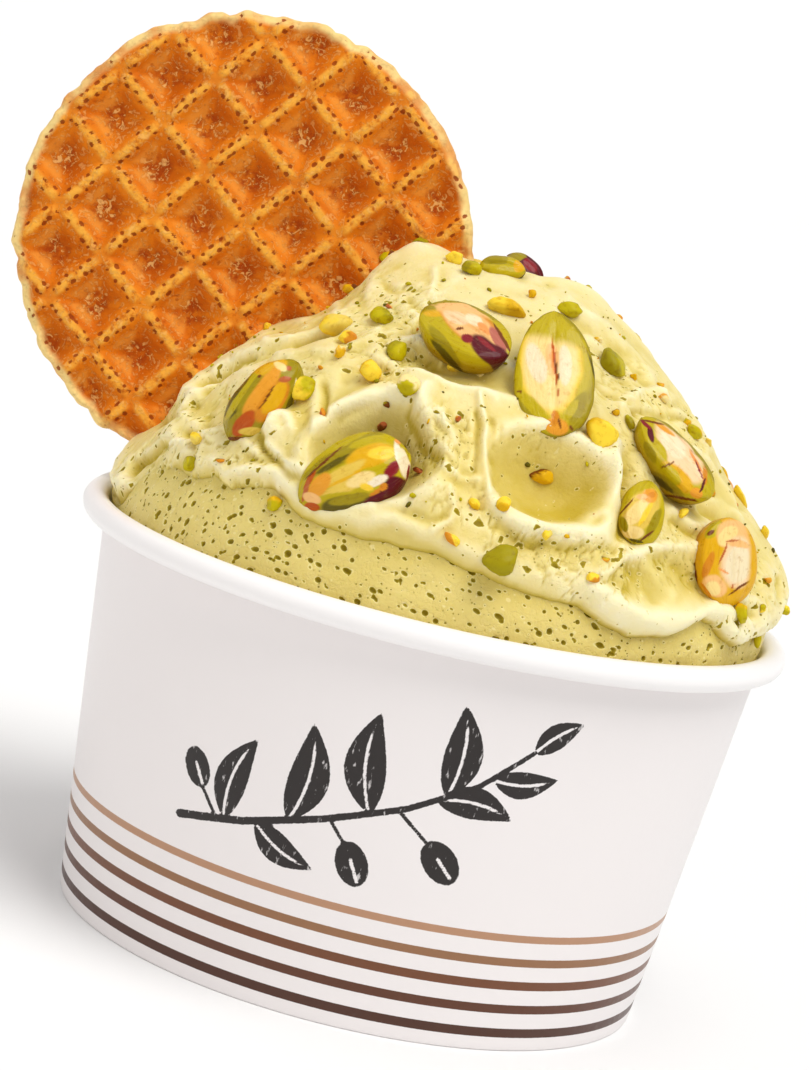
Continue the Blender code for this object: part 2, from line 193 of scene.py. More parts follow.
class Shade:
    # a node material: each call adds one node and returns its output
    def __init__(self, name, **sockets):
        self.material = bpy.data.materials.new(name)
        self.material.use_nodes = True
        self.nodes = self.material.node_tree.nodes
        self.links = self.material.node_tree.links
        self.shader = self.nodes["Principled BSDF"]
        self.set(**sockets)

    def set(self, **sockets):
        for label, value in sockets.items():
            socket = self.shader.inputs[label.replace("_", " ")]
            if isinstance(value, bpy.types.NodeSocket):
                self.links.new(value, socket)
            else:
                socket.default_value = (*value, 1.0) if len(np.shape(value)) and socket.type == "RGBA" else value

    def place(self):
        return self.nodes.new("ShaderNodeTexCoord").outputs["Object"]

    def attribute(self, label, colour=False):
        node = self.nodes.new("ShaderNodeAttribute")
        node.attribute_name = label
        return node.outputs["Color" if colour else "Fac"]

    def noise(self, where, size, detail=3.0, rough=0.55, warp=0.0):
        node = self.nodes.new("ShaderNodeTexNoise")
        node.inputs["Scale"].default_value = 1.0 / (size * mm)
        node.inputs["Detail"].default_value = detail
        node.inputs["Roughness"].default_value = rough
        node.inputs["Distortion"].default_value = warp
        self.links.new(where, node.inputs["Vector"])
        return node.outputs["Fac"]

    def cells(self, where, size):
        node = self.nodes.new("ShaderNodeTexVoronoi")
        node.inputs["Scale"].default_value = 1.0 / (size * mm)
        self.links.new(where, node.inputs["Vector"])
        return node.outputs["Distance"]

    def stretch(self, where, scale):
        node = self.nodes.new("ShaderNodeMapping")
        node.inputs["Scale"].default_value = scale
        self.links.new(where, node.inputs["Vector"])
        return node.outputs["Vector"]

    def steps(self, value, low, high, start=0.0, end=1.0):
        node = self.nodes.new("ShaderNodeMapRange")
        node.interpolation_type = "SMOOTHSTEP"
        for label, number in (("From Min", low), ("From Max", high), ("To Min", start), ("To Max", end)):
            node.inputs[label].default_value = number
        self.links.new(value, node.inputs["Value"])
        return node.outputs["Result"]

    def maths(self, kind, first, second):
        node = self.nodes.new("ShaderNodeMath")
        node.operation = kind
        for socket, value in zip(node.inputs, (first, second)):
            if isinstance(value, bpy.types.NodeSocket):
                self.links.new(value, socket)
            else:
                socket.default_value = value
        return node.outputs["Value"]

    def times(self, first, second):
        return self.maths("MULTIPLY", first, second)

    def plus(self, first, second):
        return self.maths("ADD", first, second)

    def spread(self, noise, height):
        # noise counted from its middle value, times a height
        return self.times(self.maths("SUBTRACT", noise, 0.5), height)

    def gap(self, first, second):
        return self.maths("ABSOLUTE", self.maths("SUBTRACT", first, second), 0.0)

    def mix(self, share, first, second, blend="MIX"):
        node = self.nodes.new("ShaderNodeMix")
        node.data_type = "RGBA"
        node.blend_type = blend
        for socket, value in zip((node.inputs["Factor"], node.inputs[6], node.inputs[7]),
                                 (share, first, second)):
            if isinstance(value, bpy.types.NodeSocket):
                self.links.new(value, socket)
            else:
                socket.default_value = (*value, 1.0) if len(np.shape(value)) else value
        return node.outputs[2]

    def darken(self, share, colour, by):
        # the colour times another, by a share
        return self.mix(share, colour, self.mix(1.0, colour, by, "MULTIPLY"))

    def bump(self, height, depth, strength):
        node = self.nodes.new("ShaderNodeBump")
        node.inputs["Distance"].default_value = depth * mm
        node.inputs["Strength"].default_value = strength
        self.links.new(height, node.inputs["Height"])
        return node.outputs["Normal"]

    def split(self, where, part):
        node = self.nodes.new("ShaderNodeSeparateXYZ")
        self.links.new(where, node.inputs["Vector"])
        return node.outputs[part]


# ---- camera, lights, floor ----

cameraSettings = dict(target=(-5.2022, 0.0, 56.0420), distance=442.589, elevation=9.0829,
                      roll=13.6447, lens=111.49, sensor=36.0)


def placeCamera(s):
    # stands in front of the cup, looks slightly down and is rolled about its line of sight
    rise, roll = np.radians(s["elevation"]), np.radians(s["roll"])
    back = np.array([0.0, -np.cos(rise), np.sin(rise)])
    level = np.array([1.0, 0.0, 0.0])
    steep = np.cross(back, level)
    right = np.cos(roll) * level + np.sin(roll) * steep
    up = np.cos(roll) * steep - np.sin(roll) * level
    camera = bpy.data.cameras.new("camera")
    camera.lens, camera.sensor_width = s["lens"], s["sensor"]
    camera.clip_start, camera.clip_end = 0.01, 20.0
    thing = bpy.data.objects.new("camera", camera)
    bpy.context.scene.collection.objects.link(thing)
    spot = (np.array(s["target"]) + s["distance"] * back) * mm + cupAxis
    turned = Matrix([[right[k], up[k], back[k]] for k in range(3)]).to_4x4()
    thing.matrix_world = Matrix.Translation(spot) @ turned
    bpy.context.scene.camera = thing


lightSettings = [   # name, where it comes from, softness in degrees, strength, colour
    ("keyLight", (0.62, -0.62, 1.6), 36.0, 2.1, (1.0, 0.99, 0.97)),
    ("topLight", (-0.5, 0.35, 1.6), 60.0, 0.45, (1.0, 1.0, 1.0)),
    ("fillLight", (-1.3, -1.3, 0.5), 60.0, 0.42, (1.0, 0.86, 0.77)),
]
worldLight = 0.44


def placeLights():
    for name, side, softness, strength, colour in lightSettings:
        light = bpy.data.lights.new(name, "SUN")
        light.angle, light.energy, light.color = np.radians(softness), strength, colour
        thing = bpy.data.objects.new(name, light)
        bpy.context.scene.collection.objects.link(thing)
        place = Vector(side)
        thing.matrix_world = Matrix.Translation(place) @ place.to_track_quat("Z", "Y").to_matrix().to_4x4()
    world = bpy.data.worlds.new("softStudio")
    world.use_nodes = True
    world.node_tree.nodes["Background"].inputs["Color"].default_value = (1.0, 1.0, 1.0, 1.0)
    world.node_tree.nodes["Background"].inputs["Strength"].default_value = worldLight
    bpy.context.scene.world = world
    bpy.context.scene.view_settings.view_transform = "Standard"


floorShape = dict(reach=9000.0, sweep=1500.0, rings=30, sweepRings=12, columns=96)


def placeFloor(s):
    # a wide round floor that sweeps up into a low pale wall far out
    bend = np.linspace(0.1, 1.57, s["sweepRings"])
    radius = np.concatenate([np.geomspace(60.0, s["reach"], s["rings"]), s["reach"] + s["sweep"] * np.sin(bend)])
    level = np.concatenate([np.zeros(s["rings"]), s["sweep"] - s["sweep"] * np.cos(bend)])
    turn = np.linspace(0.0, 2.0 * np.pi, s["columns"], endpoint=False)
    points = np.stack([radius[:, None] * np.cos(turn), radius[:, None] * np.sin(turn),
                       np.repeat(level[:, None], s["columns"], axis=1)], axis=-1).reshape(-1, 3)
    pole = len(points)
    points = np.concatenate([points, [[0.0, 0.0, 0.0]]])
    shade = Shade("paleFloor")
    tone = shade.noise(shade.place(), 180.0, 2.0)
    shade.set(Base_Color=shade.mix(tone, (0.86, 0.86, 0.86), (0.88, 0.88, 0.88)), Roughness=0.9)
    quads = gridFaces(len(radius), s["columns"])
    floor = buildMesh("studioFloor", points, quads[:, ::-1], fan(np.arange(s["columns"]), pole), shade.material)


# ---- paper cup ----

cup = dict(foot=39.65, slope=0.1016, paper=0.6, rimRadius=46.3, rimHeight=52.0, rimTube=1.7,
           curlStart=200.0, curlEnd=-130.0, hemSlot=1.14, hemLeg=0.5, hemHeight=7.0,
           seam=0.38, lapStart=89.4, lapWide=11.0,     # the side seam behind: its step, its azimuth and how far it laps
           white=(0.83, 0.79, 0.785), rimHighlightWhite=(0.91, 0.89, 0.885), ink=(0.009, 0.004, 0.003),
           stripes=[(15.5, 1.0, (0.45, 0.240, 0.135)), (12.25, 1.1, (0.28, 0.130, 0.055)),
                    (9.08, 1.2, (0.155, 0.047, 0.012)), (5.82, 1.2, (0.098, 0.025, 0.005)),
                    (2.52, 1.25, (0.062, 0.014, 0.002))])


sprig = dict(
    stem=[
        (-26.0, 20.5, 0.55), (-17.0, 22.6, 0.5), (-7.0, 26.0, 0.45), (3.0, 30.0, 0.42), (11.0, 34.6, 0.36),
        (17.0, 40.0, 0.3)],
    stalks=[
        [(-6.0, 26.4, 0.25), (-3.4, 23.6, 0.22)], [(2.0, 29.6, 0.25), (6.6, 26.0, 0.22)],
        [(-20.5, 21.8, 0.25), (-23.4, 25.0, 0.22)]],
    # leaves: foot right and high, length, half width, turn in degrees, bend
    leaves=[(-19.5, 22.2, 11.5, 2.3, 78, 1.2), (-15.2, 23.2, 9.5, 1.9, -24, -0.8), (-11.0, 24.7, 13.0, 2.6, 88, -1.2),
            (-1.4, 28.3, 13.0, 2.6, 96, 1.2), (6.4, 31.9, 10.0, 2.1, -6, 1.0), (7.4, 32.6, 12.0, 2.4, 92, -1.0),
            (12.6, 35.8, 8.6, 1.8, 8, -0.7), (17.0, 40.0, 7.4, 1.7, 38, 0.5)],
    # nuts: middle right and high, half length, half width, turn
    nuts=[(-2.0, 21.4, 3.0, 2.0, 118), (8.6, 24.0, 3.2, 2.1, 134), (-24.8, 27.2, 2.7, 1.8, 125)])


def sprigField(x, z):
    # a leafy sprig with nuts, drawn with a brush: mm inside each shape's edge, negative outside. A leaf's half width
    # follows a sine over its length, with a bare line along its middle; nuts are ovals with a slit
    best = np.full(x.shape, -1.0)
    for path in [sprig["stem"], *sprig["stalks"]]:
        for first, last in zip(path, path[1:]):
            share, away = runOffset(x, z, first, last)
            best = np.maximum(best, first[2] + share * (last[2] - first[2]) - away)
    for x0, z0, length, wide, turn, bend in sprig["leaves"]:
        along, across = turnedOffsets(x, z, x0, z0, turn)
        t = along / length
        away = np.abs(across - bend * 4.0 * t * (1.0 - t))
        inside = wide * np.sin(np.pi * np.clip(t, 0.0, 1.0) ** 0.8) ** 0.9 - away
        inside = np.minimum(inside, away - 0.2 * (1.0 - ease(t, 0.7, 0.9)))
        best = np.maximum(best, np.where((t > 0.0) & (t < 1.0), inside, -1.0))
    for x0, z0, long, wide, turn in sprig["nuts"]:
        along, across = turnedOffsets(x, z, x0, z0, turn)
        inside = (1.0 - np.hypot(along / long, across / wide)) * wide
        slit = np.hypot(np.abs(across), np.clip(np.abs(along + 0.9) - 1.5, 0.0, None)) - 0.22
        best = np.maximum(best, np.minimum(inside, slit))
    return np.clip(best, -1.0, 1.0)


def paperMaterial():
    shade = Shade("coatedPaper", Roughness=0.34, Specular_IOR_Level=0.5)
    where = shade.place()
    height = shade.split(where, "Z")
    wide = shade.noise(where, 26.0, 2.0)
    fibre = shade.noise(where, 0.5, 3.0)
    paper = shade.mix(wide, cup["white"], tuple(c * 1.035 for c in cup["white"]))
    # a whiter colour over the rolled rim: a painted highlight
    paper = shade.mix(shade.steps(height, 0.0495, 0.0512), paper, cup["rimHighlightWhite"])
    for middle, width, ink in cup["stripes"]:
        off = shade.gap(height, middle * mm)
        wobble = shade.spread(fibre, 0.05 * mm)
        line = shade.steps(shade.plus(off, wobble), (width / 2 - 0.035) * mm, (width / 2 + 0.035) * mm, 1.0, 0.0)
        paper = shade.mix(shade.times(line, shade.attribute("printed")), paper, ink)
    brush = shade.plus(shade.attribute("sprig"), shade.spread(fibre, 0.22))
    dry = shade.steps(shade.noise(shade.stretch(where, (1.0, 1.0, 0.35)), 0.6, 4.0), 0.62, 0.72, 1.0, 0.35)
    paper = shade.mix(shade.times(shade.steps(brush, -0.05, 0.05), dry), paper, cup["ink"])
    grain = shade.noise(where, 0.9, 4.0)
    shade.set(Base_Color=paper, Roughness=shade.steps(grain, 0.2, 0.8, 0.30, 0.42),
              Normal=shade.bump(shade.noise(where, 1.6, 4.0), 0.05, 0.35))
    return shade.material


def makeCup():
    # the wall's section as a closed line, turned about the axis: wall, curl, inside, hem
    inner = cup["foot"] - cup["paper"]
    leg = inner - cup["hemSlot"]

    def arc(radius, start, end, count):
        a = np.radians(np.linspace(start, end, count))
        return np.stack([cup["rimRadius"] + radius * np.cos(a), cup["rimHeight"] + radius * np.sin(a)], axis=-1)

    def line(foot, low, high, count):
        z = np.linspace(low, high, count)
        return np.stack([foot + cup["slope"] * z, z], axis=-1)

    round0 = np.array([[cup["foot"] - 0.25, 0.0], [cup["foot"] - 0.05, 0.08]])
    heights = np.concatenate([np.linspace(0.3, 17.6, 22), np.linspace(17.88, 47.4, 106), np.linspace(47.9, 50.2, 6)])
    outer = np.stack([cup["foot"] + cup["slope"] * heights, heights], axis=-1)
    curlIn = arc(cup["rimTube"] - cup["paper"], cup["curlStart"], cup["curlEnd"], 26)
    curlOut = arc(cup["rimTube"], cup["curlEnd"], 180.0, 40)
    inside = line(inner, 49.5, cup["paper"], 24)
    slot = line(leg, cup["paper"], cup["hemHeight"], 6)
    legIn = line(leg - cup["hemLeg"], cup["hemHeight"], 0.15, 6)
    end = np.array([[leg - cup["hemLeg"] + 0.15, 0.0]])
    section = np.concatenate([round0, outer, curlIn, curlOut, inside, slot, legIn, end])
    printed = np.zeros(len(section))
    printed[:2 + len(heights)] = 1.0
    degrees = np.sort(np.concatenate([np.linspace(-126.0, -54.0, 186), np.linspace(-54.0, 88.0, 58)[1:],
                                      np.linspace(88.4, 90.4, 7), np.linspace(92.9, 231.6, 56)]))
    turn, count = np.radians(degrees), len(degrees)
    # the overlapped side seam at the back: a step as high as one thickness of paper, fading over the lap
    past = degrees - cup["lapStart"]
    lap = np.where(past < 0.0, 0.0, np.clip(1.0 - past / cup["lapWide"], 0.0, 1.0))
    lap = lap * ease(past, -0.4, 0.6) * cup["seam"]
    tall = printed * ease(section[:, 1], 0.0, 2.0) * (1.0 - ease(section[:, 1], 47.5, 50.0))
    radius = section[:, :1] + tall[:, None] * lap[None, :]
    points = np.stack([radius * np.cos(turn), radius * np.sin(turn),
                       np.repeat(section[:, 1:], count, axis=1)], axis=-1).reshape(-1, 3)
    arcs = np.radians((degrees + 270.0) % 360.0 - 180.0)[None, :] * section[:, :1]
    brushed = np.where(printed[:, None] > 0.0, sprigField(arcs, section[:, 1:] + 0.0 * arcs), -1.0)
    loop = np.arange(len(section) + 1) % len(section)
    i, j = loop[:-1, None], np.arange(count)[None, :]
    k = (j + 1) % count
    n = loop[1:, None]
    quads = np.stack([i * count + j, i * count + k, n * count + k, n * count + j], axis=-1).reshape(-1, 4)
    wall = buildMesh("cupWall", points, quads, material=paperMaterial(),
                     attributes={"printed": np.repeat(printed, count), "sprig": brushed.ravel()})
    wall.data.set_sharp_from_angle(angle=np.radians(50.0))
    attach(wall, "root")
    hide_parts("cup_wall")
    base = bpy.data.objects["cup_base"]
    shade = Shade("basePaper", Roughness=0.5)
    where = shade.place()
    shade.set(Base_Color=shade.mix(shade.noise(where, 6.0, 4.0), (0.74, 0.72, 0.70), (0.80, 0.78, 0.76)),
              Normal=shade.bump(shade.noise(where, 0.8, 4.0), 0.06, 0.4))
    base.data.materials.clear()
    base.data.materials.append(shade.material)
    print("cup made")


placeCamera(cameraSettings)
placeLights()
placeFloor(floorShape)
makeCup()


# ---- gelato: one mound, as radii from a point on the axis inside the cup ----

mound = dict(heart=45.0, radius=45.7, crown=3.0, brim=10.2, brimRadius=44.95, lipBulge=1.7,
             lipSpread=7.0, setback=0.5, rimGap=0.45, frontDensity=0.35,
             fillHeights=(8.85, 20.0, 34.0, 48.0), fillEdge=7.4, heartTop=50.0)   # inside the cup, in mm and degrees
lipHeights = [
    (-165, 17), (-151, 24), (-132, 22), (-123, 24), (-108, 21), (-90, 21.3), (-66, 17.5), (-55, 14.7), (-38, 17.4),
    (-26, 13.5), (-8, 17), (22, 15), (60, 20), (100, 17), (142, 21)]
swellings = [    # azimuth, elevation, height, half width, half height
    (0, 18, 1.4, 17, 7), (-3, 26, 1.0, 6, 4), (8, 62, 0.5, 9, 5), (4, 42, -0.9, 12, 7), (2, 77, 1.2, 10, 5),
    (180, 13, 0.9, 14, 5), (178, 24, -1.8, 12, 5), (180, 46, -1.3, 15, 16), (180, 58, -0.9, 9, 5),
    (172, 74, 2.6, 7.5, 5.5), (-128.5, 33.5, 1.7, 2.6, 2.4), (-80, 49, 0.9, 9, 4), (-100, 26, 0.7, 12, 4),
    (100, 24, 1.5, 18, 8)]
scoops = [    # azimuth, elevation, half width, half height, depth, turn, height of the rim
    (-106.5, 34.5, 8.4, 7.2, 4.0, 12, 0.5), (-73, 37, 8.6, 6.8, 4.4, -14, 0.8), (-47, 23.5, 12.0, 4.2, 1.6, 6, 0.3),
    (-150, 33, 7.0, 6.0, 1.4, 30, 0.3), (-98, 55, 10.0, 3.8, 1.8, -4, 0.3), (-28, 39, 8.0, 5.0, 1.3, -30, 0.3),
    (103, 41, 12.5, 7.0, 3.0, 16, 0.35), (56, 33, 11.0, 5.6, 2.2, -18, 0.25), (146, 47, 10.0, 6.2, 2.0, 26, 0.25)]
folds = [    # height, half width, path as azimuth and elevation
    (1.5, 2.6, [(-106, 49), (-97, 39), (-94, 30)]), (0.9, 2.0, [(-119, 28), (-118, 37), (-112, 44), (-104, 46)]),
    (1.3, 1.7, [(-58, 46), (-60.5, 36), (-67, 29.5), (-78, 28)]), (-1.1, 2.0, [(-54, 43), (-57, 30)]),
    (-1.4, 1.8, [(-162, 36), (-151, 47), (-143, 55)]), (-1.3, 1.8, [(-148, 28), (-161, 18)]),
    (0.8, 1.8, [(-40, 83), (-5, 74), (5, 65)]), (1.4, 2.4, [(76, 54), (81, 40), (84, 27)]),
    (-1.3, 2.0, [(22, 44), (42, 56), (74, 62)]), (1.1, 2.2, [(120, 52), (127, 38), (124, 26)])]


def ray(azimuth, elevation):
    # unit vectors for angles in degrees
    a, e = np.radians(azimuth), np.radians(elevation)
    return np.stack([np.cos(e) * np.cos(a), np.cos(e) * np.sin(a), np.sin(e) + 0.0 * a], axis=-1)


def patchOffsets(rays, azimuth, elevation, turn=0.0):
    # distances in mm along and across a patch of the mound, turned in its plane
    centre = ray(azimuth, elevation)
    a = np.radians(azimuth)
    along = np.array([-np.sin(a), np.cos(a), 0.0])
    s = mound["radius"] * rays @ along
    t = mound["radius"] * rays @ np.cross(centre, along)
    far = rays @ centre < 0.2
    c, d = np.cos(np.radians(turn)), np.sin(np.radians(turn))
    return np.where(far, 1e3, c * s + d * t), np.where(far, 1e3, c * t - d * s)


def pathOffset(rays, path):
    # distance in mm to a path of straight runs laid over the mound
    points = mound["radius"] * rays
    nearest = np.full(points.shape[:-1], 1e3)
    stops = [mound["radius"] * ray(*stop) for stop in path]
    for first, last in zip(stops, stops[1:]):
        run = last - first
        share = np.clip((points - first) @ run / (run @ run), 0.0, 1.0)
        nearest = np.minimum(nearest, np.linalg.norm(points - first - share[..., None] * run, axis=-1))
    return nearest


def lipElevation(azimuth):
    # height of the lip round the mound, eased between the listed places
    places = sorted(lipHeights)
    stops = np.array([a for a, _ in places] + [places[0][0] + 360.0])
    levels = np.array([e for _, e in places] + [places[0][1]], float)
    angle = (azimuth - stops[0]) % 360.0 + stops[0]
    i = np.clip(np.searchsorted(stops, angle, side="right") - 1, 0, len(stops) - 2)
    share = ease(angle, stops[i], stops[i + 1])
    return levels[i] + share * (levels[i + 1] - levels[i])


def moundRadius(azimuth, elevation, upper=True):
    # a ball with a higher crown, plus swellings and folds (bell curves of the distance in mm),
    # less scoops (bowls with a raised rim), plus a bulge just over the lip
    rays = ray(azimuth, elevation)
    radius = mound["radius"] + mound["crown"] * ease(elevation, 60.0, 80.0)
    for az, el, height, wide, high in swellings:
        s, t = patchOffsets(rays, az, el)
        radius = radius + height * np.exp(-(s / wide) ** 2 - (t / high) ** 2)
    for az, el, wide, high, depth, turn, rim in scoops:
        s, t = patchOffsets(rays, az, el, turn)
        q = np.hypot(s / wide, t / high)
        radius = radius - depth * np.clip(1.0 - q * q, 0.0, 1.0) ** 1.1
        radius = radius + rim * np.exp(-((q - 1.08) / 0.16) ** 2)
    for height, wide, path in folds:
        radius = radius + height * np.exp(-(pathOffset(rays, path) / wide) ** 2)
    if upper:
        over = (elevation - lipElevation(azimuth)) / mound["lipSpread"]
        return radius + mound["lipBulge"] * np.exp(-over ** 2)
    share = np.clip((elevation - mound["brim"]) / 4.0, 0.0, 1.0)
    return mound["brimRadius"] + share * (radius - mound["setback"] - mound["brimRadius"])


def moundPoint(azimuth, elevation, radius):
    points = radius[..., None] * ray(azimuth, elevation)
    points[..., 2] += mound["heart"]
    return points


def clearOfRim(points):
    # pushes points off the rolled rim where they come too close to it
    out = np.hypot(points[..., 0], points[..., 1])
    r, z = out - cup["rimRadius"], points[..., 2] - cup["rimHeight"]
    push = np.maximum(1.0, (cup["rimTube"] + mound["rimGap"]) / np.maximum(np.hypot(r, z), 1e-6))
    result = points.copy()
    result[..., :2] *= ((cup["rimRadius"] + r * push) / out)[..., None]
    result[..., 2] = cup["rimHeight"] + z * push
    return result


eye = np.array(bpy.context.scene.camera.location) / mm - cupAxis / mm


def seenPlace(x, z):
    # azimuth and elevation on the mound of what stands x mm right of the axis and z mm high, seen from in front
    aim = np.array([x, 0.0, z]) - eye
    aim = aim / np.linalg.norm(aim)
    away = eye - np.array([0.0, 0.0, mound["heart"]])
    radius = mound["radius"]
    for _ in range(8):
        slant = away @ aim
        root = max(slant ** 2 - away @ away + radius ** 2, 0.0)
        spot = away + (-slant - np.sqrt(root)) * aim
        azimuth = np.degrees(np.arctan2(spot[1], spot[0]))
        elevation = np.degrees(np.arcsin(spot[2] / np.linalg.norm(spot)))
        radius = float(moundRadius(np.array([azimuth]), np.array([elevation]))[0])
    return azimuth, elevation


# the lip's edge as seen from in front, left to right: mm right of the axis, mm high, layer's thickness, softness
lipLine = [
    (-44.5, 51.0, 0.7, 2.4), (-43.0, 54.5, 0.7, 2.4), (-41.0, 57.0, 0.8, 2.6), (-38.5, 58.0, 0.8, 2.6),
    (-36.0, 57.0, 0.8, 2.4), (-33.0, 58.2, 1.0, 2.0), (-30.5, 57.0, 1.0, 2.0), (-28.0, 58.4, 1.0, 2.0),
    (-25.0, 58.3, 1.1, 2.0), (-22.0, 56.8, 1.2, 1.8), (-19.0, 55.2, 1.2, 1.6), (-15.0, 54.7, 1.1, 1.5),
    (-10.0, 54.7, 1.0, 1.4), (-5.0, 54.9, 1.0, 1.4), (-1.0, 55.0, 1.0, 1.5), (3.0, 54.3, 1.2, 1.6),
    (6.0, 53.5, 1.3, 1.8), (9.0, 52.9, 1.4, 1.8), (12.0, 52.6, 1.4, 1.8), (15.0, 52.4, 1.4, 1.8),
    (18.0, 52.3, 1.5, 2.0), (20.5, 52.1, 1.7, 2.2), (23.0, 51.3, 1.9, 2.4), (25.5, 50.5, 2.0, 2.4),
    (28.0, 50.1, 2.0, 2.4), (31.0, 50.3, 1.9, 2.2), (33.5, 50.9, 1.8, 2.0), (35.0, 52.0, 1.5, 1.8),
    (36.0, 53.4, 1.3, 1.6), (37.5, 54.5, 1.3, 1.5), (39.0, 54.5, 1.5, 1.5), (40.0, 53.6, 1.8, 1.6),
    (41.2, 52.4, 2.0, 1.8), (42.6, 51.9, 2.0, 1.8), (44.0, 52.9, 1.8, 1.6)]
lipBehind = [    # the same behind the mound: azimuth, elevation, thickness, softness
    (2, 16.5, 1.6, 1.8), (14, 14.5, 1.8, 2.0), (34, 18, 1.4, 2.0), (60, 20, 1.4, 2.2), (82, 17.5, 1.8, 2.2),
    (100, 16.5, 1.6, 2.0), (124, 20.5, 1.3, 2.0), (142, 20.5, 1.2, 2.0), (160, 16, 1.3, 2.2), (176, 15, 1.0, 2.2)]
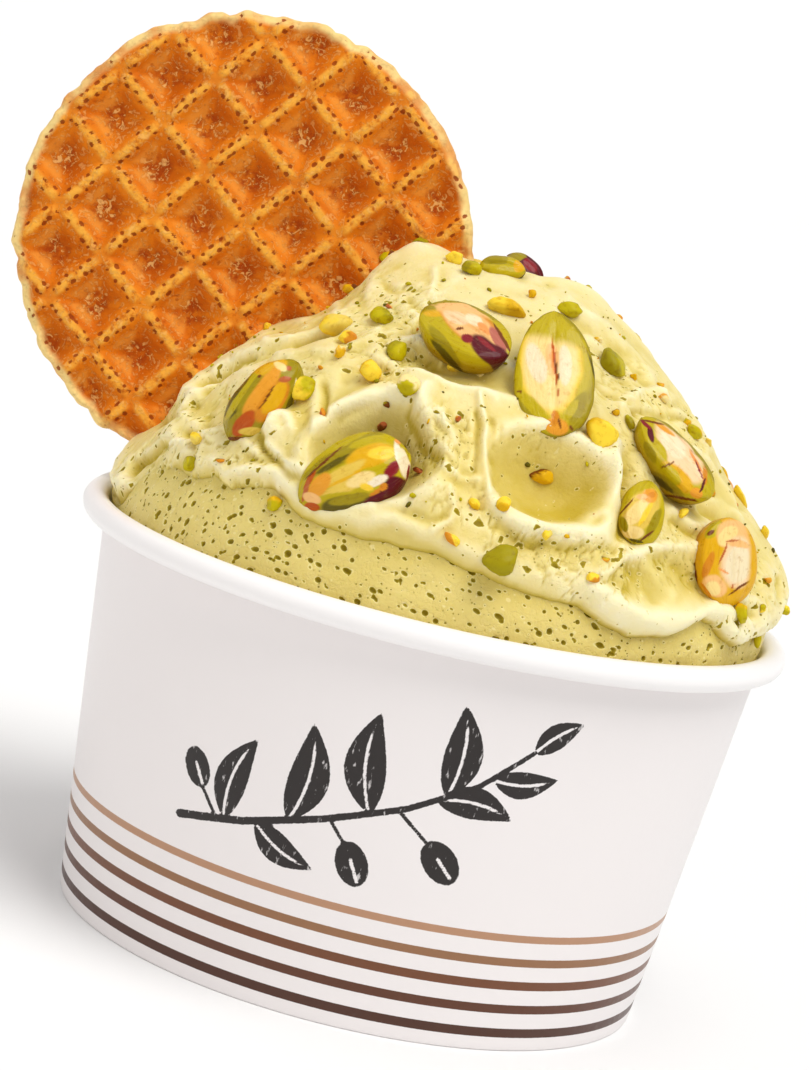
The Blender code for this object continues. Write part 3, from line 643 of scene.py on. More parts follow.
frontStrokes = [    # ridges and grooves as seen from in front: height, half width, path of mm right and mm high
    (0.8, 1.0, [(-37, 68), (-34, 72.5), (-30, 75.6), (-26, 78)]),
    (-0.7, 0.7, [(-35.5, 68.5), (-32.8, 72.0), (-30.5, 74.2)]),
    (0.7, 0.9, [(-29, 76.6), (-25.5, 78.2), (-22.5, 79.6)]),
    (-0.7, 0.6, [(-29.5, 78.3), (-24.5, 80.5), (-22.8, 82)]), (-0.6, 0.5, [(-28.5, 77.2), (-25.8, 78.6)]),
    (0.6, 0.8, [(-27, 75.4), (-24, 76.4), (-20.5, 78.5)]), (-0.6, 0.5, [(-25, 77.2), (-21.5, 79.2)]),
    (0.6, 0.9, [(-22, 85), (-20.5, 82.5), (-19, 84)]),
    (0.7, 0.7, [(-26.2, 65.2), (-26, 67), (-25, 67.9), (-23.8, 67.6), (-23, 66.4)]),
    (-0.7, 0.5, [(-26.4, 64.6), (-25.8, 62.8), (-24.2, 61.6)]),
    (0.5, 0.6, [(-25.2, 63.6), (-23, 61.6), (-20.6, 60.6)]), (-0.5, 0.6, [(-27.2, 66.5), (-26.8, 64.5)]),
    (-0.7, 0.5, [(-20.2, 73), (-19.6, 70.6), (-18.8, 69.2)]),
    (0.8, 0.8, [(-21.4, 72.6), (-20.8, 70), (-19.8, 67.4)]),
    (0.7, 0.9, [(-36.3, 70), (-37.8, 67), (-37, 64.8), (-34.5, 63)]),
    (-0.6, 0.6, [(-41, 63), (-38.8, 64), (-36.2, 66.2)]),
    (0.9, 1.1, [(-43.5, 54), (-41, 57.7), (-38, 60.6), (-36, 62.6)]),
    (-1.0, 0.6, [(-43.2, 51.5), (-41.6, 55.4), (-39.7, 58), (-38.3, 60)]),
    (0.6, 0.8, [(-40.5, 55), (-38, 57.6), (-35.5, 59.6)]),
    (-0.6, 0.6, [(-35.6, 62.0), (-34.6, 60.2), (-35.4, 58.6)]),
    (0.7, 0.9, [(-34.5, 57.6), (-32, 59.4), (-30, 58.2), (-27, 59.7), (-24, 59.6), (-21, 57.8), (-18.5, 56.4)]),
    (-0.5, 0.8, [(-27.5, 61.2), (-24, 61.3), (-21.5, 59.8)]),
    (0.45, 0.7, [(-31, 64.5), (-28.5, 63), (-26.6, 62.2)]),
    (0.9, 0.9, [(-19.5, 66.5), (-18.3, 70), (-15.6, 73), (-12, 75), (-8.8, 74.9)]),
    (-0.4, 0.6, [(-17, 69.2), (-14.6, 71.6), (-11.6, 73.2)]),
    (1.2, 1.3, [(-7.2, 76.2), (-7.2, 72.8), (-5.2, 70), (-2.6, 68), (-1, 66.2)]),
    (-0.6, 0.5, [(-8.6, 74.4), (-8.4, 71.6), (-6.6, 69), (-3.6, 66.8)]),
    (0.5, 0.5, [(-4.6, 73.4), (-2.4, 71), (-1.6, 69.6)]), (-0.5, 0.4, [(-5, 72.2), (-3.2, 70.8)]),
    (-0.6, 0.5, [(-2.4, 67.6), (-0.8, 66.4)]), (-0.4, 0.4, [(-3.8, 73.4), (-2.2, 72.2), (-0.6, 71.6)]),
    (0.5, 0.6, [(-2, 66), (0.5, 65.5), (2.6, 65.8)]),
    (0.75, 0.5, [(0.3, 76), (1.6, 72.5), (2.8, 68.5), (4.4, 64.4)]),
    (-0.5, 0.4, [(0.2, 73.8), (1.2, 70.4), (2.0, 67)]), (-0.35, 0.4, [(2.2, 73.5), (3.6, 70.5)]),
    (-0.3, 0.35, [(3.4, 73), (4.2, 71.4)]),
    (0.8, 0.8, [(4.4, 64), (6.6, 61.5), (9.6, 60.4), (13, 60.9), (16.6, 62.3), (19, 65)]),
    (-0.4, 0.8, [(6, 59.4), (9.6, 58.4), (13, 59)]),
    (0.8, 1.0, [(19.2, 74.5), (20.2, 70), (19.6, 66), (20.3, 61.5)]),
    (-1.0, 0.8, [(21.2, 71), (21.7, 66), (22.2, 62)]), (0.6, 0.8, [(22.6, 62), (22.6, 58.6), (20.5, 56.6)]),
    (0.6, 1.0, [(-16.5, 56.4), (-11, 56.2), (-7, 57.6), (-3, 56.6), (1, 55.9), (5, 55.1), (9, 54.3)]),
    (-0.5, 0.8, [(-9, 59), (-5.4, 58.8), (-2.4, 58.2), (-0.4, 59)]),
    (0.6, 0.7, [(-1.5, 57.4), (0.2, 58.6), (0.6, 61), (-0.6, 63.4)]),
    (0.7, 1.0, [(22, 61.4), (25.5, 60.4), (27.5, 58.4), (30, 56.4)]), (-0.5, 1.0, [(24, 58.5), (26, 57), (28, 55)]),
    (0.7, 1.0, [(21, 54.4), (24, 54), (27, 52.4), (31, 52), (34, 53.4), (36, 56)]),
    (-0.8, 1.4, [(31, 60.5), (33.5, 58), (35.5, 57)]), (-0.8, 0.6, [(37.2, 56.9), (39.5, 57.1), (41, 56.4)]),
    (0.8, 0.8, [(37.4, 58.4), (40, 58.6), (42.4, 57.4), (43, 54.6)]), (-0.9, 0.5, [(45.6, 57.6), (45.2, 54.5)]),
    (-0.6, 0.6, [(43.4, 62), (44.2, 58.6)]), (0.7, 0.8, [(44.6, 62), (45.2, 59)]),
    (-0.9, 0.8, [(27, 69.6), (30, 69.3), (33, 68.2)]), (0.8, 0.8, [(28.4, 67.8), (31, 66.6), (34, 66.3)]),
    (-0.6, 0.6, [(29, 66.4), (32, 65.2)]), (0.7, 0.7, [(33, 70.4), (35.4, 68.8), (37, 69)]),
    (-0.6, 0.5, [(32.4, 69.6), (34.6, 68)]), (0.5, 0.8, [(27.8, 66), (27.4, 62.6), (25.4, 61.2)]),
    (0.8, 0.8, [(8.5, 91.6), (14, 89.3), (19, 86), (23, 82.4)]), (-0.6, 0.8, [(9, 90), (14, 87.8), (19.5, 84)]),
    (0.5, 0.7, [(12, 87.2), (17, 85.4), (20, 82)]), (-0.5, 0.5, [(15, 81.6), (17.5, 80.6), (19.4, 80.2)]),
    (0.6, 0.7, [(18.5, 80), (21.5, 82.4), (24.5, 82)]), (-0.5, 0.5, [(20.5, 79.4), (24, 79.6)]),
    (0.6, 0.8, [(26, 81), (28.6, 79.4), (31, 76.6)]), (-0.5, 0.6, [(25.5, 79.4), (27.2, 79.6)]),
    (-0.5, 0.5, [(33.8, 74.4), (36, 72.2), (37.4, 70.2)]), (0.6, 1.0, [(-17.4, 86), (-17.6, 89.5), (-15.8, 92)]),
    (-0.5, 0.6, [(-15.6, 88.2), (-13.6, 87.4), (-11.2, 88.2)]),
    (-0.5, 0.5, [(-11.8, 86.8), (-9.8, 85.4), (-10.4, 83)]), (0.5, 0.6, [(-9.2, 88.4), (-9.6, 91)]),
    (-0.4, 0.8, [(-6.5, 79.2), (-9, 79.4), (-11, 78)]), (0.45, 0.35, [(-6.2, 81.4), (-5.4, 80.6), (-5.7, 79.4)]),
    (0.5, 0.7, [(-22.4, 76.6), (-19, 78), (-16.4, 80.6), (-15, 82)]),
    (-0.5, 0.7, [(-18, 74.6), (-15.5, 77.6), (-12.6, 77)]), (0.5, 0.8, [(-6, 77.6), (-1.6, 78), (2.6, 76.4)])]
backStrokes = [    # the same as seen from behind, mm left of the axis counted as right
    (0.9, 1.0, [(-36, 66), (-32, 71), (-26, 74.5)]), (-0.7, 0.8, [(-34, 66), (-30.5, 70), (-26, 72.5)]),
    (0.8, 0.9, [(-20, 60), (-14, 58), (-7, 60)]), (-0.5, 0.8, [(-18, 62), (-12, 60.6), (-7, 62)]),
    (0.9, 1.1, [(-24, 82), (-17, 84.5), (-10, 83)]), (-0.6, 0.7, [(-22, 80.4), (-16, 82.6), (-10, 81)]),
    (1.0, 1.1, [(0, 77), (4, 72), (5.5, 66), (3, 61)]), (-0.6, 0.6, [(1.6, 76), (6, 71), (7.5, 66)]),
    (0.7, 0.8, [(8, 58), (14, 57), (20, 59.5), (25, 58)]), (0.8, 1.0, [(14, 80), (20, 77), (26, 72)]),
    (-0.7, 0.8, [(15, 78), (20.5, 75), (25, 70.6)]), (0.8, 1.0, [(30, 66), (34, 61), (37, 57)]),
    (-0.9, 0.7, [(29, 64), (32.4, 60), (34.6, 57)]), (0.7, 0.9, [(-8, 91), (-2, 92), (5, 89), (11, 85)]),
    (-0.5, 0.7, [(-6, 89.4), (0, 90), (7, 86.6)]), (0.6, 0.7, [(-32, 58), (-28, 60), (-25, 58.5)]),
    (-0.5, 0.5, [(-12, 72), (-9, 69), (-10, 66)]), (0.5, 0.5, [(12, 69), (15, 66), (19, 65)])]
texture = dict(lumps=(6.0, 0.32), ripples=(2.2, 0.25), grain=(0.9, 0.06), strokes=(5.0, 0.28),
               pitCell=1.15, pitKeep=0.9, pitSmall=0.13, pitLarge=0.40, pitStretch=1.9,
               topPitCell=1.3, topPitKeep=0.75, topPitSmall=0.16, topPitLarge=0.38, topPitStretch=2.3,
               strokeRise=0.68, strokeWidth=0.88, tears=(1.9, 0.34),
               lipWander=0.42, bandRows=64, bandColumns=1440, topCount=296, lipRows=9)
# where the upper layer is open and bubbly, as seen from in front: right, high, half width, half height, share
openPlaces = [
    (-38, 58, 7, 9, 1.0), (-30, 59, 6, 4, 0.8), (-28, 70, 9, 9, 0.35), (-11, 84, 4, 5, 0.9), (-3, 69, 4.5, 5, 0.9),
    (1, 62, 6, 4, 0.5), (11, 73, 7, 3, 0.35), (18, 57.5, 9, 4, 0.9), (31, 62, 5, 5, 0.6), (24, 76, 8, 6, 0.45),
    (43, 58, 4, 6, 0.8), (37, 51, 4, 4, 0.8), (-14, 80, 6, 6, 0.35), (18, 82, 6, 4, 0.45), (10, 57, 8, 3, 0.3),
    (-18, 88, 5, 4, 0.4)]
paintedHighlightFolds = [    # smooth folds given a painted highlight: the same measures
    (26, 53.5, 9, 4.0, 0.38), (39, 54, 5, 4, 0.3), (-30, 68, 8, 8, 0.45), (-20, 60, 6, 3, 0.35),
    (9, 61, 9, 2, 0.35), (-5, 76, 9, 3, 0.35), (20, 68, 2.5, 7, 0.35), (-2, 92, 9, 5, 0.35), (14, 90, 7, 4, 0.3)]
openBehind = [    # the same seen from behind
    (-34, 60, 9, 9, 0.9), (-12, 64, 8, 8, 0.5), (6, 69, 8, 9, 0.6), (26, 62, 12, 9, 0.7), (0, 84, 14, 6, 0.5),
    (-20, 78, 9, 6, 0.5)]


def seenFlat(points, behind=False):
    # where points stand as seen from in front (or behind): mm right of the axis, mm high, and how far they face
    # that way, from 0 to 1
    side = -1.0 if behind else 1.0
    x, y = side * points[..., 0], side * points[..., 1]
    grow = -eye[1] / (y - eye[1])
    toEye = np.stack([eye[0] - x, eye[1] - y, eye[2] - points[..., 2]], axis=-1)
    out = np.stack([x, y, points[..., 2] - mound["heart"]], axis=-1)
    facing = (toEye * out).sum(-1) / np.linalg.norm(toEye, axis=-1) / np.linalg.norm(out, axis=-1)
    return eye[0] + (x - eye[0]) * grow, eye[2] + (points[..., 2] - eye[2]) * grow, ease(facing, -0.02, 0.12)


def flatOffset(x, z, path):
    # distance in mm to a path drawn in the front view
    nearest = np.full(x.shape, 1e3)
    for first, last in zip(path, path[1:]):
        nearest = np.minimum(nearest, runOffset(x, z, first, last)[1])
    return nearest


def creamRelief(points, azimuth, elevation):
    # soft lumps and ripples, long strokes that run round the mound, then the drawn ridges and grooves as bell
    # curves of the distance to their paths
    lumps, ripples, grain, strokes = (texture[k] for k in ("lumps", "ripples", "grain", "strokes"))
    height = lumps[1] * layeredNoise(points, lumps[0], 2, 11)
    rough = 0.35 + 0.65 * openShare(points)
    height = height + ripples[1] * rough * layeredNoise(points, ripples[0], 2, 21)
    height = height + grain[1] * rough * layeredNoise(points, grain[0], 2, 31)
    flow = np.stack([np.radians(azimuth) * 45.0 / (strokes[0] * 3.2),
                     (elevation * 0.8 + 3.0 * np.sin(np.radians(azimuth * 3.0))) / (strokes[0] * 0.55),
                     0.0 * azimuth + 3.3], axis=-1)
    height = height + strokes[1] * latticeNoise(flow + 40.0, 41)
    wander = 0.5 * np.stack([latticeNoise(points / 3.1, 43), latticeNoise(points / 3.1 + 9.0, 44)])
    for behind, drawn in ((False, frontStrokes), (True, backStrokes)):
        x, z, facing = seenFlat(points, behind)
        for rise, wide, path in drawn:
            away = flatOffset(x + wander[0], z + wander[1], path) / (wide * texture["strokeWidth"])
            crisp = texture["strokeRise"] + (0.3 if wide < 0.75 else 0.0)
            height = height + crisp * rise * facing * np.exp(-away ** 2)
    return height


def drawnShare(points, places, share, behind=False):
    # the largest of the drawn places' shares: amount * exp(-(x / wide)^4 - (z / high)^4) on the side that is seen
    x, z, facing = seenFlat(points, behind)
    for x0, z0, wide, high, amount in places:
        share = np.maximum(share, amount * facing * np.exp(-((x - x0) / wide) ** 4 - ((z - z0) / high) ** 4))
    return share


def openShare(points):
    # how open and bubbly the cream is, from 0 to 1
    share = drawnShare(points, openPlaces, 0.0)
    return np.clip(drawnShare(points, openBehind, share, behind=True), 0.0, 1.0)


def lipTable():
    # azimuth, elevation, thickness and softness of the lip's edge, in order of azimuth
    rows = [(*seenPlace(x, z), thick * (0.62 + 0.38 * ease(x, 16.0, 24.0)), soft * 0.9)
            for x, z, thick, soft in lipLine]
    rows = np.array(sorted(rows + lipBehind))
    return np.concatenate([rows[-1:] - [[360.0, 0, 0, 0]], rows, rows[:1] + [[360.0, 0, 0, 0]]])


def lipEdge(azimuth):
    # the table read off at any azimuth, with small waves of its own
    table = lipTable()
    angle = (azimuth + 180.0) % 360.0 - 180.0
    turn = np.stack([np.cos(np.radians(azimuth)), np.sin(np.radians(azimuth)), 0.0 * azimuth], axis=-1)
    waves = texture["lipWander"] * layeredNoise(turn * 45.0 + 20.0, 3.2, 3, 61)
    return [np.interp(angle, table[:, 0], table[:, k]) + (waves if k == 1 else 0.0) for k in (1, 2, 3)]


def hollows(radius, around=False):
    # how far the surface lies under its own surroundings, from box means over two widths of the grid
    total = 0.0
    for reach, weight in ((3, 1.6), (9, 0.55)):
        padded = radius
        for axis in (0, 1):
            mode = "wrap" if around and axis == 1 else "edge"
            widths = [(reach, reach) if k == axis else (0, 0) for k in (0, 1)]
            sums = np.cumsum(np.pad(padded, widths, mode=mode), axis=axis)
            sums = np.concatenate([np.zeros_like(np.take(sums, [0], axis)), sums], axis=axis)
            size = sums.shape[axis]
            span = 2 * reach + 1
            padded = (np.take(sums, np.arange(span, size), axis) - np.take(sums, np.arange(size - span), axis)) / span
        total = total + weight * (padded - radius)
    return total


def gelatoMaterial():
    shade = Shade("pistachioGelato", Roughness=0.46, Specular_IOR_Level=0.3, Subsurface_Weight=0.4,
                  Subsurface_Scale=1.2 * mm, Subsurface_Radius=(1.0, 0.85, 0.35), IOR=1.38)
    where = shade.place()
    tone = shade.noise(where, 9.0, 3.0)
    fleck = shade.noise(where, 0.8, 3.0)
    cream = shade.mix(shade.steps(tone, 0.3, 0.7), (0.785, 0.645, 0.220), (0.83, 0.695, 0.265))
    # paler, whiter cream on crests, folds and the crown: a painted highlight
    cream = shade.mix(shade.attribute("paleCrestAndHighlight"), cream, (0.94, 0.85, 0.54))
    # darker, deeper yellow cream in hollows, scoops and under the lip: painted shade
    cream = shade.mix(shade.attribute("paintedShade"), cream, (0.58, 0.43, 0.045))
    cream = shade.mix(shade.steps(fleck, 0.68, 0.76), cream, (0.56, 0.43, 0.08))
    # tiny dark dots where the cream is open: painted shade of small pores, also pressed in by the bump
    pores = shade.cells(where, 0.85)
    pores = shade.times(shade.steps(pores, 0.13, 0.17, 1.0, 0.0),
                        shade.steps(shade.noise(where, 3.0, 1.0), 0.45, 0.6))
    pores = shade.times(pores, shade.steps(shade.attribute("open"), 0.1, 0.4))
    pit = shade.plus(shade.attribute("pit"), shade.spread(fleck, 0.9))
    # a pale ring round each pit: a painted highlight on its rim
    cream = shade.mix(shade.steps(pit, -0.62, -0.25, 0.0, 0.4), cream, (0.93, 0.84, 0.46))
    # dark olive in the pits, darkest in the middle: painted shade
    cream = shade.mix(shade.steps(pit, -0.10, 0.12), cream, (0.43, 0.325, 0.010))
    cream = shade.mix(shade.steps(pit, 0.08, 0.60, 0.0, 0.8), cream, (0.25, 0.170, 0.001))
    cream = shade.mix(shade.times(pores, 0.75), cream, (0.40, 0.30, 0.03))
    torn = shade.gap(shade.noise(where, 2.6, 4.0, 0.6), 0.5)
    torn = shade.times(shade.steps(torn, 0.0, 0.05), shade.attribute("open"))
    relief = shade.plus(shade.times(torn, 0.5), shade.noise(where, 0.5, 4.0))
    relief = shade.maths("SUBTRACT", relief, shade.times(pores, 1.5))
    shade.set(Base_Color=cream, Roughness=shade.steps(fleck, 0.2, 0.8, 0.38, 0.52),
              Normal=shade.bump(relief, 0.17, 0.7))
    return shade.material


def makeGelato():
    material = gelatoMaterial()
    s = texture
    # fill and band: rings from inside the cup up to just behind the lip
    step = np.linspace(0.0, 360.0, s["bandColumns"], endpoint=False)
    azimuth = step - np.degrees(mound["frontDensity"]) * np.sin(np.radians(step + 90.0))
    lip = lipEdge(azimuth)[0]
    share = np.linspace(0.0, 1.0, s["bandRows"])[:, None]
    low = mound["fillEdge"]
    elevation = low + share * (lip + 1.5 - low)
    azimuths = azimuth + 0.0 * elevation
    radius = bandRadius(azimuths, elevation)
    plain = clearOfRim(moundPoint(azimuths, elevation, radius))
    inCup = 1.0 - ease(elevation, low, low + 1.5)
    relief = creamRelief(plain, azimuths, elevation) * (1.0 - 0.9 * inCup) * 0.55
    bare = 1.0 - inCup
    pit, field = deepest(streakPits(plain, azimuths, "pit", 71, bare),
                         streakPits(plain + 60.0, azimuths, "pit", 76, bare),
                         bubblePits(plain + 30.0, 2.6, 0.45, 0.25, 0.62, 77, share=bare),
                         bubblePits(plain + 50.0, 0.75, 0.5, 0.08, 0.19, 72, share=bare))
    points = clearOfRim(moundPoint(azimuths, elevation, radius + relief - pit))
    wallFoot = cup["foot"] - cup["paper"] - mound["rimGap"]
    heights = mound["fillHeights"]
    level = ray(azimuth, 0.0 * azimuth)
    rings = [level * (wallFoot + cup["slope"] * z) + np.array([0.0, 0.0, z]) for z in heights]
    points = np.concatenate([np.array(rings), points])
    rows, columns = points.shape[:2]
    flat = np.concatenate([points.reshape(-1, 3), [[0, 0, heights[0]], [0, 0, heights[-1]]]])
    # painted shade: darker just under the lip, in the band's hollows and inside the cup, over a darker tone for the
    # whole band
    deep = ease(elevation, lip - 3.0, lip - 0.6) * 0.22 + 0.22 + 0.3 * inCup + 0.5 * hollows(relief, around=True)

    def padded(values, low=0.0):
        hidden = np.full(len(heights) * columns, low)
        return np.concatenate([hidden, np.clip(values, low, 1.0).ravel(), np.full(2, low)])
    fill = buildMesh("gelatoFill", flat, gridFaces(rows, columns), endFans(rows, columns), material,
                     dict(pit=padded(field, -1.0), paintedShade=padded(deep), paleCrestAndHighlight=padded(0.0 * deep),
                          open=padded(0.0 * deep + 0.8)))
    # upper layer: a square grid eased over the mound, rounded down to the band at its lip
    reach, angle = discGrid(s["topCount"])
    azimuth = angle - np.degrees(mound["frontDensity"]) * np.sin(np.radians(angle + 90.0))
    edge, thick, soft = lipEdge(azimuth)
    half = np.sin(np.radians((90.0 - edge) / 2.0))
    elevation = 90.0 - 2.0 * np.degrees(np.arcsin(reach * half))
    radius, pit, field, opened = upperSurface(azimuth, elevation, edge, thick, soft)
    cavity = hollows(radius + pit)
    scooped = 0.0 * azimuth
    for az, el, wide, high, depth, turn, _ in scoops:
        u, v = patchOffsets(ray(azimuth, elevation), az, el, turn)
        scooped = np.maximum(scooped, (depth / 4.4) * np.clip(1.0 - np.hypot(u / wide, v / high) ** 2, 0.0, 1.0))
    # painted shade in hollows, in the scoops and darkening towards the lip's edge
    paintedShade = np.clip(0.9 * cavity + 0.35 * scooped + 0.5 * ease(-elevation, -edge - 5.0, -edge) * 0.4, 0.0, 1.0)
    top = moundPoint(azimuth, elevation, radius)
    # painted highlight on the drawn folds, growing towards the crown
    pale = drawnShare(top, paintedHighlightFolds, 0.25 * ease(elevation, 30.0, 80.0))
    # painted highlight on crests, taken away in hollows and scoops
    paleCrestAndHighlight = np.clip(-0.75 * cavity + pale - 0.8 * scooped, 0.0, 1.0)
    quads, border = discQuads(s["topCount"])
    azimuth, edge = azimuth.ravel()[border], edge.ravel()[border]
    tuck = np.linspace(0.0, 1.0, s["lipRows"] + 1)[1:, None]
    under = bandRadius(azimuth + 0 * tuck, edge + 0 * tuck) - 0.35 - 1.6 * tuck
    outer = radius.ravel()[border]
    skirt = moundPoint(azimuth + 0 * tuck, edge - 0.35 * np.sin(np.pi * tuck) + 1.6 * tuck,
                       outer + (under - outer) * tuck ** 0.7)
    inner = moundPoint(azimuth, edge + 4.0, outer - 6.0)[None]
    columns = len(border)
    first = s["topCount"] ** 2
    flat = np.concatenate([top.reshape(-1, 3), skirt.reshape(-1, 3), inner.reshape(-1, 3), [[0, 0, mound["heartTop"]]]])
    rings = np.concatenate([border[None], first + np.arange((s["lipRows"] + 1) * columns).reshape(-1, columns)])
    tris = fan(rings[-1], len(flat) - 1, flip=True)

    def edged(values, last):
        return np.concatenate([values.ravel(), np.full((s["lipRows"] + 1) * columns + 1, last)])
    cap = buildMesh("gelatoTop", flat, np.concatenate([quads, bandQuads(rings)]), tris, material,
                    dict(pit=edged(np.clip(field, -1, 1), -1.0), paintedShade=edged(paintedShade, 0.4), paleCrestAndHighlight=edged(paleCrestAndHighlight, 0.0),
                         open=edged(np.clip(opened, 0, 1), 0.3)))
    for piece in (fill, cap):
        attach(piece, "root")
        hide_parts("gelato")
    print("gelato made")


def bandRadius(azimuth, elevation):
    # the lower band: set back from the upper layer, meeting the cup's inside at the brim
    return moundRadius(azimuth, np.maximum(elevation, mound["brim"]), upper=False)


def streakPits(points, azimuth, kind, seed, share=1.0):
    # bubbles drawn out along strokes that stand steep at the left and lie level at the right
    level = ray(azimuth + 90.0, 0.0 * azimuth)
    tilt = np.interp((azimuth + 180.0) % 360.0 - 180.0, [-180, -160, -135, -110, -60, -20, 60, 120, 180],
                     [70, 75, 60, -28, -24, 15, -20, 20, 70])
    tilt = np.radians(tilt + 25.0 * layeredNoise(points, 7.0, 1, seed + 5))
    up = np.cross(ray(azimuth, 15.0 + 0.0 * azimuth), level)
    axis = np.cos(tilt)[..., None] * level + np.sin(tilt)[..., None] * up
    s = texture
    return bubblePits(points, s[kind + "Cell"], s[kind + "Keep"], s[kind + "Small"], s[kind + "Large"], seed,
                      axis, s[kind + "Stretch"], share)


def upperSurface(azimuth, elevation, edge, thick, soft):
    # the mound with its relief, less pits, rounded down to the band over the lip's softness
    radius = moundRadius(azimuth, elevation, upper=False) + mound["setback"]
    plain = moundPoint(azimuth, elevation, radius)
    rise = (elevation - edge) * 0.8
    layer = thick * np.sqrt(np.clip(1.0 - (1.0 - np.clip(rise / soft, 0.0, 1.0)) ** 2, 0.0, 1.0))
    layer = layer * np.exp(-(np.clip(rise - soft, 0.0, None) / 7.5) ** 2)
    layer = layer - mound["setback"] * (1.0 - ease(rise, 0.0, 3.0))
    relief = creamRelief(plain, azimuth, elevation) * (0.55 + 0.45 * ease(rise, 0.0, 2.0))
    opened = openShare(plain) + 0.22 * latticeNoise(plain / 4.0, 95)
    tear = np.abs(layeredNoise(plain, texture["tears"][0], 2, 98))      # thin creases where the noise passes zero
    relief = relief + texture["tears"][1] * ease(opened, 0.05, 0.55) * (ease(tear, 0.0, 0.16) - 0.8)
    pit, field = deepest(streakPits(plain, azimuth, "topPit", 91, ease(opened, -0.15, 0.3)),
                         streakPits(plain + 60.0, azimuth, "topPit", 96, ease(opened, 0.15, 0.55)),
                         bubblePits(plain + 50.0, 1.7, 0.4, 0.12, 0.26, 97))
    return radius + layer + relief - pit, pit, field, opened


# ---- waffle wafer ----

wafer = dict(centre=(-35.2, 6.0, 88.35), radius=30.15, lean=6.0, half=2.5, edge=1.55, bevel=1.1,
             pitch=8.8, turn=-38.0, shift=(-1.7, 1.7), pocket=2.05, floor=2.0, count=214, edgeRows=7,
             holeStep=1.45)


def waferPlane(points):
    # takes the wafer's own plane (x right, y up, z to the front) to its place: leaned back, then moved
    lean = np.radians(90.0 - wafer["lean"])
    turned = np.array([[1, 0, 0], [0, np.cos(lean), -np.sin(lean)], [0, np.sin(lean), np.cos(lean)]])
    return points @ turned.T + np.array(wafer["centre"])


def ridgeHoles(along, away, line, side, seed):
    # rows of holes burst open along a ridge's edges, one in each short step, uneven in size and place:
    # 1 in a hole's middle, 0 at its edge, down to -1 outside
    rng = np.random.default_rng(seed)
    shift, long, wide = (rng.uniform(low, high, (64, 64)) for low, high in ((0.2, 0.8), (0.24, 0.58), (0.19, 0.34)))
    keep = rng.uniform(0, 1, (64, 64)) < 0.72
    off = side * 0.58 + rng.uniform(-0.2, 0.2, (64, 64))
    step = np.floor(along / wafer["holeStep"]).astype(int)
    key = step % 64, line % 64
    offset = along - (step + shift[key]) * wafer["holeStep"]
    q = (offset / long[key]) ** 2 + ((away - off[key]) / wide[key]) ** 2
    clear = np.abs((along + wafer["pitch"] / 2.0) % wafer["pitch"] - wafer["pitch"] / 2.0)
    return np.where(keep[key] & (clear > 0.9), np.clip(1.0 - q, -1.0, 1.0), -1.0)


def waferSide(x, y, side):
    # height of one side over the middle plane. The pockets are four-sided: a rounded distance to the nearest lines
    # of a square grid, eased from ridge to floor; floors are blistered, ridges burst open along both edges
    a = np.radians(-wafer["turn"])
    x0, y0 = (x, y) if side > 0 else (x + 2.1, y - 1.3)
    u = np.cos(a) * x0 - np.sin(a) * y0 - wafer["shift"][0]
    v = np.sin(a) * x0 + np.cos(a) * y0 - wafer["shift"][1]
    seed = 110 if side > 0 else 210
    flat = np.stack([x, y, 0.0 * x + seed], axis=-1)
    u = u + 0.24 * latticeNoise(flat / 6.0, seed + 1) + 0.09 * latticeNoise(flat / 1.6, seed + 8)
    v = v + 0.24 * latticeNoise(flat / 6.0 + 5.0, seed + 2) + 0.09 * latticeNoise(flat / 1.6 + 5.0, seed + 9)
    pitch = wafer["pitch"]
    lineU, lineV = np.round(u / pitch), np.round(v / pitch)
    awayU, awayV = u - lineU * pitch, v - lineV * pitch
    sizeU, sizeV = np.abs(awayU) + 1e-3, np.abs(awayV) + 1e-3
    near = (sizeU ** -5.0 + sizeV ** -5.0) ** -0.2
    sunk = ease(near, 0.35, (pitch - wafer["floor"]) / 2.0) ** 0.85
    reach = np.hypot(x, y)
    rim = ease(reach, wafer["radius"] - wafer["bevel"], wafer["radius"])
    holes = np.max([ridgeHoles(along, away, line.astype(int), half, seed + number)
                    for along, away, line, half, number in ((v, awayU, lineU, 1, 3), (v, awayU, lineU, -1, 4),
                                                            (u, awayV, lineV, 1, 5), (u, awayV, lineV, -1, 6))], axis=0)
    deep = ease(sunk, 0.35, 1.0)
    blister = 0.20 * deep * layeredNoise(flat, 1.3, 3, seed + 10) + 0.04 * layeredNoise(flat, 0.8, 2, seed + 13)
    pores, poreField = bubblePits(flat, 1.8, 0.5, 0.12, 0.34, seed + 7, share=ease(sunk, 0.45, 0.9))
    crossing = np.exp(-(np.maximum(sizeU, sizeV) / 1.15) ** 4)
    height = wafer["half"] - wafer["pocket"] * sunk * (1.0 - rim) - 0.25 * crossing
    height = height + 0.10 * np.exp(-((near - 0.3) / 0.3) ** 2) * (1.0 - crossing)
    height = height - (wafer["half"] - wafer["edge"]) * rim + blister - 0.28 * np.sqrt(np.clip(holes, 0.0, 1.0)) - pores
    paleCrestAndHighlight = (1.0 - ease(near, 0.3, 0.85)) * (1.0 - 0.8 * crossing)
    # which way each pocket slope faces, for painted light and shade
    low = pocketSide(awayU, awayV, a) * ease(np.abs(sizeU - sizeV), 0.0, 1.2)
    middle = ease(sunk, 0.72, 1.0)
    return height, middle * (1.0 - rim), paleCrestAndHighlight, np.maximum(holes, poreField), low * ease(sunk, 0.15, 0.6)


def pocketSide(awayU, awayV, a):
    # 1 on the pockets' slopes that face up, -1 on those that face down: where light and shade are painted
    return np.where(np.abs(awayU) < np.abs(awayV), np.sign(awayU) * np.sign(np.sin(a)),
                    np.sign(awayV) * np.sign(np.cos(a)))


